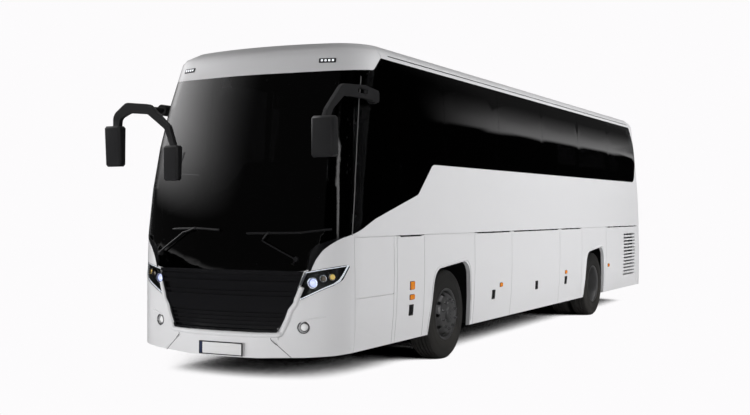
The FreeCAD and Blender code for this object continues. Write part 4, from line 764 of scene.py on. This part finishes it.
def headlamp_unit(x, z, depth, radius, rings, lens):
    """Round lamp unit in the bowl, facing ahead and outward."""
    hit, normal = front(x, z)
    heading = (normal + Vector((0, -PULL_AHEAD, 0))).normalized()
    profile = [(0.000, radius), (0.004, radius), (0.004, radius * 0.90), (-0.020, radius * 0.70),
               (-0.024, radius * DOME_SHARE), (-0.024, radius)]
    round_lamp(seat_on(hit - normal * depth, heading), profile, 32, rings, lens, radius * DOME_SHARE, 24,
               DOME_FLAT, DOME_SUNK)


for side, way in SIDES:
    shapes = {"headlamp_lens_": nose_patch([LAMP_EDGE], -0.001, 0.003),
              "headlamp_bowl_": nose_patch([LAMP_EDGE], -0.095, 0.003, lip=-0.005),
              "headlamp_guide_": nose_patch([LAMP_EDGE[:-1] + LAMP_INSIDE[::-1]], -0.006, 0.004)}
    shapes.update({name: bmesh.new() for name in HEADLAMP_LOOKS if name not in shapes})
    for *sizes, name in UNITS:
        headlamp_unit(*sizes, shapes["headlamp_rings_"], shapes[name])
    for name, look in HEADLAMP_LOOKS.items():
        stands = ("lamps",) if name == "headlamp_lens_" else ()
        piece(name + side, on_its_side(shapes[name], way), look, stands_for=stands, smooth=40)
print("headlamps done")

# %% [markdown]
# ## Fog lamps, tail lamps, number plate and marker cluster
# The fog lamps are clear round lenses in bright rings, set in the bumper. Each tail lamp is a
# black panel with three red discs and an amber one. The number plate is blank, in a thin dark
# frame. Four small white lamps sit in a dark housing on each side of the visor.

# %% Fog lamps and tail lamps
FOG_X, FOG_Z, FOG_LENS = 0.862, 0.588, 0.036
FOG_PROFILE = [(0.004, 0.058), (0.006, 0.050), (-0.030, 0.036), (-0.034, 0.036), (-0.034, 0.059),
               (0.0, 0.059)]
TAIL_X, TAIL_Z, TAIL_DISC = 1.080, 1.17, 0.062
TAIL_DISCS = {"red": (1.40, 1.24, 0.94), "amber": (1.09,)}
for side, way in SIDES:
    ring, lens = bmesh.new(), bmesh.new()
    round_lamp(seat_on(*front(way * FOG_X, FOG_Z)), FOG_PROFILE, 40, ring, lens, FOG_LENS, 28, 0.5, 0.020)
    piece("fog_ring_" + side, ring, "bright_metal", smooth=35)
    # the fog lens glows faintly: a painted sheen of its chrome reflector
    piece("fog_lens_" + side, lens, "fog_reflector", smooth=60)
    plaques("tail_lamp_base_" + side, "gloss_black", [
        (tail(way * TAIL_X, TAIL_Z), 0.165, 0.640, 0.000, 0.004, 0.045)])
    for tint, heights in TAIL_DISCS.items():
        discs = bmesh.new()
        for z in heights:
            disc(discs, tail(way * TAIL_X, z), TAIL_DISC, 0.012, 36)
        piece("tail_lamp_%s_%s" % (tint, side), discs, tint + "_lens")

# %% Number plate and visor lamps
PLATE_LOW, PLATE_TALL, PLATE_HALF = 0.292, 0.130, 0.260
plate_y = NOSE_Y - PLATE_STAND_OFF
# columns: piece, finish, across from/to, distances ahead of its face and back, margin, bevel
PLATE_PARTS = [
    ("plate_frame", "black_trim", -PLATE_HALF, PLATE_HALF, 0.006, 0.0, 0.0, 0.003),
    ("plate_blank", "plate_white", 0.045 - PLATE_HALF, PLATE_HALF - 0.010, 0.009, 0.004, 0.010, 0.002),
    ("plate_strip", "plate_dark", 0.010 - PLATE_HALF, 0.043 - PLATE_HALF, 0.009, 0.004, 0.010, 0.002)]
for name, look, x0, x1, face, back, margin, bevel in PLATE_PARTS:
    shape = bmesh.new()
    block(shape, (x0, plate_y - face, PLATE_LOW + margin),
          (x1, plate_y - back, PLATE_LOW + PLATE_TALL - margin), bevel)
    piece(name, shape, look)
VISOR_X, VISOR_Z, DOT_PITCH = 0.850, 3.205, 0.036
for side, way in SIDES:
    plaques("visor_lamp_base_" + side, "black_trim", [
        (front(way * VISOR_X, VISOR_Z), 0.175, 0.050, 0.006, 0.005)])
    plaques("visor_lamp_" + side, "light_guide", [
        (front(way * (VISOR_X + (index - 1.5) * DOT_PITCH), VISOR_Z), 0.022, 0.024, 0.010, 0.004)
        for index in range(4)])
print("plate and lamps done")

# %% [markdown]
# ## Tubes and trim lines
# Wiper arms, lips and trim lines are round rods that follow a path. A ring is set at each point
# of the path and the rings are bridged one to the next.

# %% Rods along a path
def ring_edges(verts):
    """Edges that join the vertices of one ring."""
    own = set(verts)
    return [edge for edge in {edge for vert in verts for edge in vert.link_edges}
            if edge.verts[0] in own and edge.verts[1] in own]


def tube(shape, path, radius, sides, flat=1.0):
    """Closed rod through the points of a path; flat squeezes its height."""
    rings = []
    for index, point in enumerate(path):
        along = (path[min(index + 1, len(path) - 1)] - path[max(index - 1, 0)]).normalized()
        across = UP.cross(along).normalized()
        up = along.cross(across).normalized()
        turn = Matrix((across, up, along)).transposed().to_4x4()
        matrix = Matrix.Translation(point) @ turn @ Matrix.Diagonal((1, flat, 1, 1))
        rings.append(bmesh.ops.create_circle(shape, segments=sides, radius=radius, matrix=matrix)["verts"])
    for first, second in zip(rings, rings[1:]):
        bmesh.ops.bridge_loops(shape, edges=ring_edges(first) + ring_edges(second))
    for ring in (rings[0], rings[-1]):
        bmesh.ops.contextual_create(shape, geom=ring)


def rod(name, path, radius, sides, look, smooth):
    """Piece made of one tube."""
    shape = bmesh.new()
    tube(shape, path, radius, sides)
    piece(name, shape, look, smooth=smooth)


def follow(points, shift, steps, finder):
    """Points on the skin along a flat polyline, each leg cut into steps, proud by a distance."""
    found = []
    for (a0, z0), (a1, z1) in zip(points, points[1:]):
        for step in range(steps):
            part = step / steps
            hit, normal = finder(a0 + (a1 - a0) * part, z0 + (z1 - z0) * part)
            found.append(hit + normal * shift)
    hit, normal = finder(*points[-1])
    return found + [hit + normal * shift]


def on_nose(points, shift, steps):
    """Path on the nose along a polyline given as (across, up)."""
    return follow(points, shift, steps, even_front)


def on_flank(points, shift, steps, way):
    """Path on a side wall along a polyline given as (distance behind the nose, up)."""
    return follow(points, shift, steps, lambda back, z: flank(way, back, z))


# %% [markdown]
# ## Wipers
# Each wiper has a boss, an arm that carries the blade's middle, and a slim blade that lies along
# the foot of the windscreen.

# %% Wiper arms and blades
# columns: pivot, knee of the arm, blade points, each as (across, up)
WIPERS = [((-0.850, 1.275), (-0.480, 1.486), [(-0.640, 1.520), (-0.330, 1.529), (-0.030, 1.516)]),
          ((0.790, 1.240), (0.455, 1.418), [(0.290, 1.484), (0.520, 1.488), (0.823, 1.494), (1.100, 1.527)])]
wipers = bmesh.new()
for pivot, knee, blade in WIPERS:
    middle = blade[1]
    disc(wipers, front(*pivot), 0.028, 0.040, 24, taper=0.8)
    # columns: path, distance off the glass, radius, sides, flatness; arm, blade's spine, rubber
    for points, shift, radius, sides, flat in (([pivot, knee, middle], 0.034, 0.011, 8, 0.7),
                                               (blade, 0.030, 0.009, 8, 0.7), (blade, 0.014, 0.004, 6, 2.6)):
        tube(wipers, on_nose(points, shift, 5), radius, sides, flat)
    disc(wipers, front(*middle), 0.016, 0.040, 16)
piece("wipers_moulded", wipers, "black_trim", stands_for=("wipers",), smooth=35)
print("wipers done")

# %% [markdown]
# ## Mirrors
# The mirror arms and heads are mouldings with soft edges. They are made from the frame's own
# solids: flat facets are merged, then every edge is rounded. A bright plate sits in the back of
# each head, where the driver looks.

# %% Mirror housings
FLAT_BELOW, SHARP_ABOVE, SHORT_EDGE, MIRROR_ROUND = math.radians(3), math.radians(35), 0.02, 0.010
shape = bmesh.new()
shape.from_mesh(nodes["mirrors"].data)
bmesh.ops.remove_doubles(shape, verts=shape.verts[:], dist=0.0001)
bmesh.ops.dissolve_limit(shape, angle_limit=FLAT_BELOW, verts=shape.verts[:], edges=shape.edges[:])
sharp = [edge for edge in shape.edges if edge.is_manifold and edge.calc_face_angle(0) > SHARP_ABOVE
         and edge.calc_length() > SHORT_EDGE]
bmesh.ops.bevel(shape, geom=sharp, offset=MIRROR_ROUND, offset_type="OFFSET", segments=3, profile=0.5,
                affect="EDGES", material=-1, clamp_overlap=True)
mirrors_made = piece("mirrors_moulded", shape, "satin_black", stands_for=("mirrors",), smooth=35)
mirrors_made.visible_glossy = False

# columns: side, across from/to, distance behind the nose of the head's rear face, height from/to
GLASSES = [("left", 1.185, 1.380, -0.125, 2.215, 2.550), ("right", -1.380, -1.215, -0.003, 2.190, 2.555)]
GLASS_HALF = 0.004
for side, x0, x1, back, z0, z1 in GLASSES:
    shape = bmesh.new()
    block(shape, (x0, NOSE_Y + back - GLASS_HALF, z0), (x1, NOSE_Y + back + GLASS_HALF, z1), 0.003)
    piece("mirror_glass_" + side, shape, "mirror_face", smooth=35)
print("mirrors done")

# %% [markdown]
# ## Trim lines
# A thin grey line divides the windscreen from the side glass. A dark gutter runs along each edge
# of the roof. A fine dark seam crosses the bumper on each side, a soft crease leads from each fog
# lamp, and a rounded white lip runs down the grille's sides and under it.

# %% Lines
PILLAR_LINE = [(0.761, 3.045), (0.713, 2.899), (0.677, 2.796), (0.577, 2.394), (0.501, 2.000), (0.444, 1.611),
               (0.422, 1.467)]
GUTTER = [(1.30, 3.312), (4.0, 3.315), (8.0, 3.315), (11.55, 3.315)]
SEAM = [(0.566, 0.545), (0.548, 0.470), (0.562, 0.452), (0.655, 0.372), (0.752, 0.292)]
CREASE = [(0.835, 0.639), (0.900, 0.662), (0.965, 0.680), (1.062, 0.695)]
LIP = [(0.846, 0.975), (0.802, 0.868), (0.790, 0.815), (0.742, 0.745), (0.712, 0.660), (0.668, 0.565),
       (0.640, 0.520), (0.600, 0.508), (0.42, 0.504), (0.0, 0.502)]
for side, way in SIDES:
    rod("pillar_line_" + side, on_flank(PILLAR_LINE, 0.001, 3, way), 0.005, 6, "grey_trim", 40)
    rod("gutter_" + side, on_flank(GUTTER, 0.0, 8, way), 0.006, 6, "black_trim", 40)
    rod("bumper_seam_" + side, on_nose(mirrored(SEAM, way), -0.0008, 4), 0.0032, 6, "black_trim", 40)
    rod("bumper_crease_" + side, on_nose(mirrored(CREASE, way), -0.004, 4), 0.009, 8, "body_paint", 60)
lip_path = on_nose(LIP, -0.006, 4) + on_nose(mirrored(LIP[::-1], -1), -0.006, 4)[1:]
rod("grille_lip", lip_path, 0.026, 16, "body_paint", 60)
print("trim lines done")

# %% [markdown]
# ## Seats
# Forty-four passenger seats in eleven rows, a bench at the back and the driver's seat. Each has a
# crowned cushion, a back with a sewn channel round its middle and a headrest, on a dark frame.
# The pads are grids pulled into soft closed forms, then subdivided.

# %% One padded form
CROWN, PINCH, SOFTNESS = 0.012, 0.05, 7
CHANNEL_ACROSS, CHANNEL_ALONG, CHANNEL_WIDTH = 0.66, 0.72, 0.12
FACES_FROM = 0.4


def pad(shape, place, wide, deep, tall, channel):
    """Crowned cushion: width along X, depth along Y, thickness along Z, in the frame of a matrix."""
    form = bmesh.new()
    bmesh.ops.create_cube(form, size=2.0)
    bmesh.ops.subdivide_edges(form, edges=form.edges[:], cuts=5, use_grid_fill=True)
    for vert in form.verts:
        a, b, c = vert.co
        soft = (abs(a) ** SOFTNESS + abs(b) ** SOFTNESS + abs(c) ** SOFTNESS) ** (1 / SOFTNESS)
        a, b, c = a / soft, b / soft, c / soft
        rise = CROWN * (1 - a * a) * (1 - b * b)
        if channel:
            ring = max(abs(a) / CHANNEL_ACROSS, abs(b) / CHANNEL_ALONG)
            rise -= channel * math.exp(-((ring - 1) / CHANNEL_WIDTH) ** 2)
        vert.co = Vector((a * wide / 2 * (1 - PINCH * (1 - b * b)), b * deep / 2 * (1 - PINCH * (1 - a * a)),
                          c * (tall / 2 - CROWN) + math.copysign(rise, c) * (abs(c) > FACES_FROM)))
    form.transform(place)
    joined_with(shape, form)


# %% Seat places
FLOOR_HEIGHT, DRIVER_FLOOR = 1.400, 0.900
FIRST_ROW, ROW_PITCH, BENCH_ROW, DRIVER_ROW = 3.100, 0.760, 11.460, 1.560
seat_places = [(way * middle, NOSE_Y + FIRST_ROW + ROW_PITCH * row, FLOOR_HEIGHT)
               for row in range(11) for way in (-1, 1) for middle in (0.427, 0.873)]
seat_places += [(middle, NOSE_Y + BENCH_ROW, FLOOR_HEIGHT) for middle in (-0.874, -0.437, 0.0, 0.437, 0.874)]
seat_places.append((0.580, NOSE_Y + DRIVER_ROW, DRIVER_FLOOR))
SEAT_WIDTH = 0.445
LYING = Matrix.Identity(4)
LEANING = Matrix.Rotation(math.radians(-14) + math.radians(90), 4, "X")
# columns: piece, nodes stood for, back and up from the seat's foot, tilt, width/depth/thickness, channel
PADS = [("seat_cushions", ("seats",), -0.225, 0.392, LYING, (SEAT_WIDTH - 0.01, 0.480, 0.112), 0.006),
        ("seat_backs", (), 0.030, 0.680, LEANING, (SEAT_WIDTH - 0.02, 0.450, 0.100), 0.007),
        ("headrests", (), 0.108, 0.985, LEANING, (0.300, 0.185, 0.088), 0.0)]
for name, stands, back, up, tilt, sizes, channel in PADS:
    pads = bmesh.new()
    for x, y, z in seat_places:
        pad(pads, Matrix.Translation((x, y + back, z + up)) @ tilt, *sizes, channel)
    made = piece(name, pads, "seat_cloth", stands_for=stands, smooth=180)
    rounder = made.modifiers.new("rounder", "SUBSURF")
    rounder.levels = rounder.render_levels = 1
seat_frames = bmesh.new()
for x, y, z in seat_places:
    for foot in (-0.15, 0.15):
        block(seat_frames, (x + foot - 0.018, y - 0.285, z + 0.004),
              (x + foot + 0.018, y - 0.075, z + 0.325), 0.006)
    block(seat_frames, (x - 0.20, y - 0.420, z + 0.318), (x + 0.20, y - 0.030, z + 0.336), 0.005)
piece("seat_frames", seat_frames, "black_trim")
print("seats:", len(seat_places))

# %% [markdown]
# ## Wheel arch lips
# The panels swell outward into a low rounded lip along each wheel opening.

# %% Arch lips
# how far the opening's feet and knees stand from the axle, before it and behind it
ARCHES = {"front": ((0.620, 0.460), (0.535, 0.630)), "rear": ((0.645, 0.510), (0.440, 0.600))}
ARCH_TOP, ARCH_ROUND, ARCH_GROW, ARCH_FOOT, FRONT_DROP = 1.125, 0.200, 0.022, 0.20, 0.075
FOOT_CUT, ROUND_STEPS = 0.20, 6


def arch_path(axle, feet):
    """Side outline of a wheel opening, just outside its edge, as (distance behind the nose, up)."""
    (foot_front, knee_front), (knee_rear, foot_rear) = feet
    corners = [Vector((axle - foot_front - ARCH_GROW, ARCH_FOOT)),
               Vector((axle - knee_front - ARCH_GROW, ARCH_TOP - FRONT_DROP + ARCH_GROW)),
               Vector((axle + knee_rear + ARCH_GROW, ARCH_TOP + ARCH_GROW)),
               Vector((axle + foot_rear + ARCH_GROW, ARCH_FOOT))]
    corners[0] = corners[0].lerp(corners[1], FOOT_CUT)
    corners[-1] = corners[-1].lerp(corners[-2], FOOT_CUT)
    path = [corners[0]]
    for before, corner, after in zip(corners, corners[1:], corners[2:]):
        start = corner + (before - corner).normalized() * ARCH_ROUND
        end = corner + (after - corner).normalized() * ARCH_ROUND
        for step in range(ROUND_STEPS + 1):
            part = step / ROUND_STEPS
            path.append(start.lerp(corner, part).lerp(corner.lerp(end, part), part))
    return path + [corners[-1]]


for tag, axle in AXLES:
    outline = arch_path(axle - NOSE_Y, ARCHES[tag])
    for side, way in SIDES:
        rod("arch_lip_%s_%s" % (tag, side), on_flank(outline, -0.006, 2, way), 0.016, 10, "body_paint", 60)
print("arch lips done")

# %% [markdown]
# ## Splash guards
# A horseshoe of thin sheet stands inboard of each wheel, between the tyre's sweep and the frame,
# and leaves room for the axle and the track rod.

# %% Splash guards
GUARD_OUT, GUARD_THICK, GUARD_FOOT, GUARD_HALF = 0.50, 0.006, 0.34, 0.60
GUARD_CREST = [(-GUARD_HALF, 0.95), (-0.46, 1.09), (0.46, 1.09), (GUARD_HALF, 0.95)]
BITE_RADIUS, BITE_UP, BITE_STEPS = 0.34, 0.42, 12


def splash_guard(axle, way):
    """Horseshoe sheet beside one wheel, in world coordinates."""
    shape = bmesh.new()
    turns = [math.pi * step / BITE_STEPS for step in range(BITE_STEPS + 1)]
    bite = [(BITE_RADIUS * math.cos(turn), BITE_UP + BITE_RADIUS * math.sin(turn)) for turn in turns]
    outline = [(-GUARD_HALF, GUARD_FOOT), *GUARD_CREST, (GUARD_HALF, GUARD_FOOT), (BITE_RADIUS, GUARD_FOOT),
               *bite, (-BITE_RADIUS, GUARD_FOOT)]
    bmesh.ops.triangle_fill(shape, use_beauty=True, edges=loop_of(shape, outline))
    grown = bmesh.ops.extrude_face_region(shape, geom=shape.faces[:])
    bmesh.ops.translate(shape, vec=(0, GUARD_THICK, 0), verts=only_verts(grown))
    bmesh.ops.recalc_face_normals(shape, faces=shape.faces[:])
    shape.transform(Matrix.Translation((way * GUARD_OUT, axle, 0)) @ Matrix.Rotation(math.pi / 2, 4, "Z"))
    return shape


for tag, axle in AXLES:
    for side, way in SIDES:
        piece("splash_guard_%s_%s" % (tag, side), splash_guard(axle, way), "black_trim")
print("splash guards done")

# %% [markdown]
# ## Studio
# The floor is pale and the backdrop white; in reflections the floor is painted dark, as painted shade. Lamps
# overhead, on both sides and behind give the roof and the sides their even tone, and a low wide lamp in front
# lights the nose.

# %% Floor
WHITE = (0.975, 0.965, 0.975, 1)
# tilted towards the front left, so that light seems to reach in under the nose and the near side
SHADE_LEAN = (0.58, -0.80, 0.17)
floor_shape = bmesh.new()
bmesh.ops.create_grid(floor_shape, x_segments=1, y_segments=1, size=60.0)
floor = object_from(floor_shape, "studio_floor")
paint, tree, shader = new_material("studio floor")
ray = add(tree, "ShaderNodeLightPath").outputs
lean = add(tree, "ShaderNodeCombineXYZ", dict(zip("XYZ", SHADE_LEAN)))
shade = add(tree, "ShaderNodeAmbientOcclusion", {"Distance": 3.4, "Normal": lean}, samples=48)
shade_edge = add(tree, "ShaderNodeMapRange", {
    "Value": shade.outputs["AO"], "From Min": 0.56, "From Max": 0.69}, interpolation_type="SMOOTHSTEP")
glow = add(tree, "ShaderNodeEmission", {"Color": WHITE, "Strength": shade_edge})
# painted shade in reflections: glossy rays see the floor dark grey instead of pale, so the grille, glass and
# paint reflect a dark floor
colour = add(tree, "ShaderNodeMix", {
    "Factor": ray["Is Glossy Ray"], "A": (0.90, 0.90, 0.905, 1), "B": (0.10, 0.10, 0.10, 1)},
    data_type="RGBA")
for label, value in (("Roughness", 0.9), ("Specular IOR Level", 0.0), ("Base Color", colour)):
    feed(shader, label, value)
choice = add(tree, "ShaderNodeMixShader", {"Fac": ray["Is Camera Ray"], 1: shader, 2: glow})
feed(tree.nodes["Material Output"], "Surface", choice)
floor.data.materials.append(paint)

# %% World
BACKDROP, AMBIENT = 1.0, 0.46
world = bpy.data.worlds.new("studio")
scene.world = world
world.use_nodes = True
sky = world.node_tree
heading = add(sky, "ShaderNodeTexCoord")
compass = add(sky, "ShaderNodeSeparateXYZ", {0: heading.outputs["Generated"]}).outputs


def ramp(source, low, high, start=0.0, end=1.0, kind="SMOOTHSTEP"):
    """Rise or fall of a direction's component between two values."""
    return add(sky, "ShaderNodeMapRange", {
        "Value": source, "From Min": low, "From Max": high, "To Min": start, "To Max": end},
        interpolation_type=kind)


def combine(operation, first, second=0.0):
    """Maths node on two values, each a node, a socket or a number."""
    return add(sky, "ShaderNodeMath", {0: first, 1: second}, operation=operation)


# what glossy surfaces see: a white wall on the coach's right, and on its left a band of light
# that starts above a dark lower wall and fades upward
wall_spread = combine("POWER", ramp(compass["X"], -0.30, -1.0, kind="LINEAR"), 3.2)
right_wall = combine("MULTIPLY", wall_spread, ramp(compass["Z"], 0.12, 0.45, 0.0, 5.5))
slope = combine("DIVIDE", compass["Z"], combine("MAXIMUM", compass["X"], 0.05))
left_band = combine("MULTIPLY", ramp(slope, 0.325, 0.345, 0.0, 0.62), ramp(slope, 0.34, 0.45, 1.0, 0.07))
left_band = combine("MULTIPLY", left_band, ramp(compass["X"], 0.325, 0.41, 1.0, 0.0))
ceiling = ramp(compass["Z"], 0.80, 0.97, 0.0, 0.6)
# a tall narrow light, bent so that it stays upright on the rounded corner pillar
ahead = combine("MAXIMUM", combine("MULTIPLY", compass["Y"], -1.0), 0.05)
bearing = combine("DIVIDE", compass["X"], ahead)
bend = combine("SUBTRACT", 1.76, combine("MULTIPLY", combine("POWER", compass["Z"], 2.0), 2.75))
strip = ramp(combine("ABSOLUTE", combine("SUBTRACT", bearing, bend)), 0.30, 0.04, 0.0, 3.2)
for low, high, start, end in ((-0.02, 0.20, 0.0, 1.0), (0.44, 0.60, 1.0, 0.0)):
    strip = combine("MULTIPLY", strip, ramp(compass["Z"], low, high, start, end))
gloss_light = combine("ADD", combine("MAXIMUM", right_wall, left_band), combine("ADD", ceiling, 0.003))
gloss_light = combine("ADD", gloss_light, strip)

# %% What each kind of ray sees
seen = add(sky, "ShaderNodeLightPath").outputs
scattered = add(sky, "ShaderNodeMix", {
    "Factor": combine("MAXIMUM", seen["Is Glossy Ray"], seen["Is Transmission Ray"]),
    "A": ramp(compass["Z"], 0.0, 0.9, AMBIENT, 0.45 * AMBIENT), "B": gloss_light})
straight = add(sky, "ShaderNodeMix", {"Factor": seen["Is Camera Ray"], "A": scattered, "B": BACKDROP})
feed(sky.nodes["Background"], "Color", WHITE)
feed(sky.nodes["Background"], "Strength", straight)
scene.view_settings.view_transform = "Standard"

# %% Lamps
# columns: name, place, target, wide, tall, power
LAMPS = [("overhead", (0, 3.5, 9), (0, 3.5, 0), 10, 9, 420),
         ("far side", (-12, 5, 4), (0, 3, 1.5), 14, 5, 620),
         ("rear", (0, 17, 4), (0, 6, 1.5), 8, 4, 420),
         ("side", (12, 2.4, 5), (0, 1.0, 1.5), 14, 6, 1090),
         ("nose", (-1.8, -10.5, 0.3), (-0.3, -5.8, 0.3), 6, 1, 225)]
for name, place, target, wide, tall, power in LAMPS:
    data = bpy.data.lights.new(name, "AREA")
    data.shape = "RECTANGLE"
    data.size, data.size_y = wide, tall
    data.energy = power
    lamp = bpy.data.objects.new(name, data)
    lamp.location = place
    lamp.rotation_euler = (Vector(target) - Vector(place)).to_track_quat("-Z", "Y").to_euler()
    lamp.visible_glossy = False
    lamp.visible_camera = False
    scene.collection.objects.link(lamp)
print("lamps:", len(bpy.data.lights))
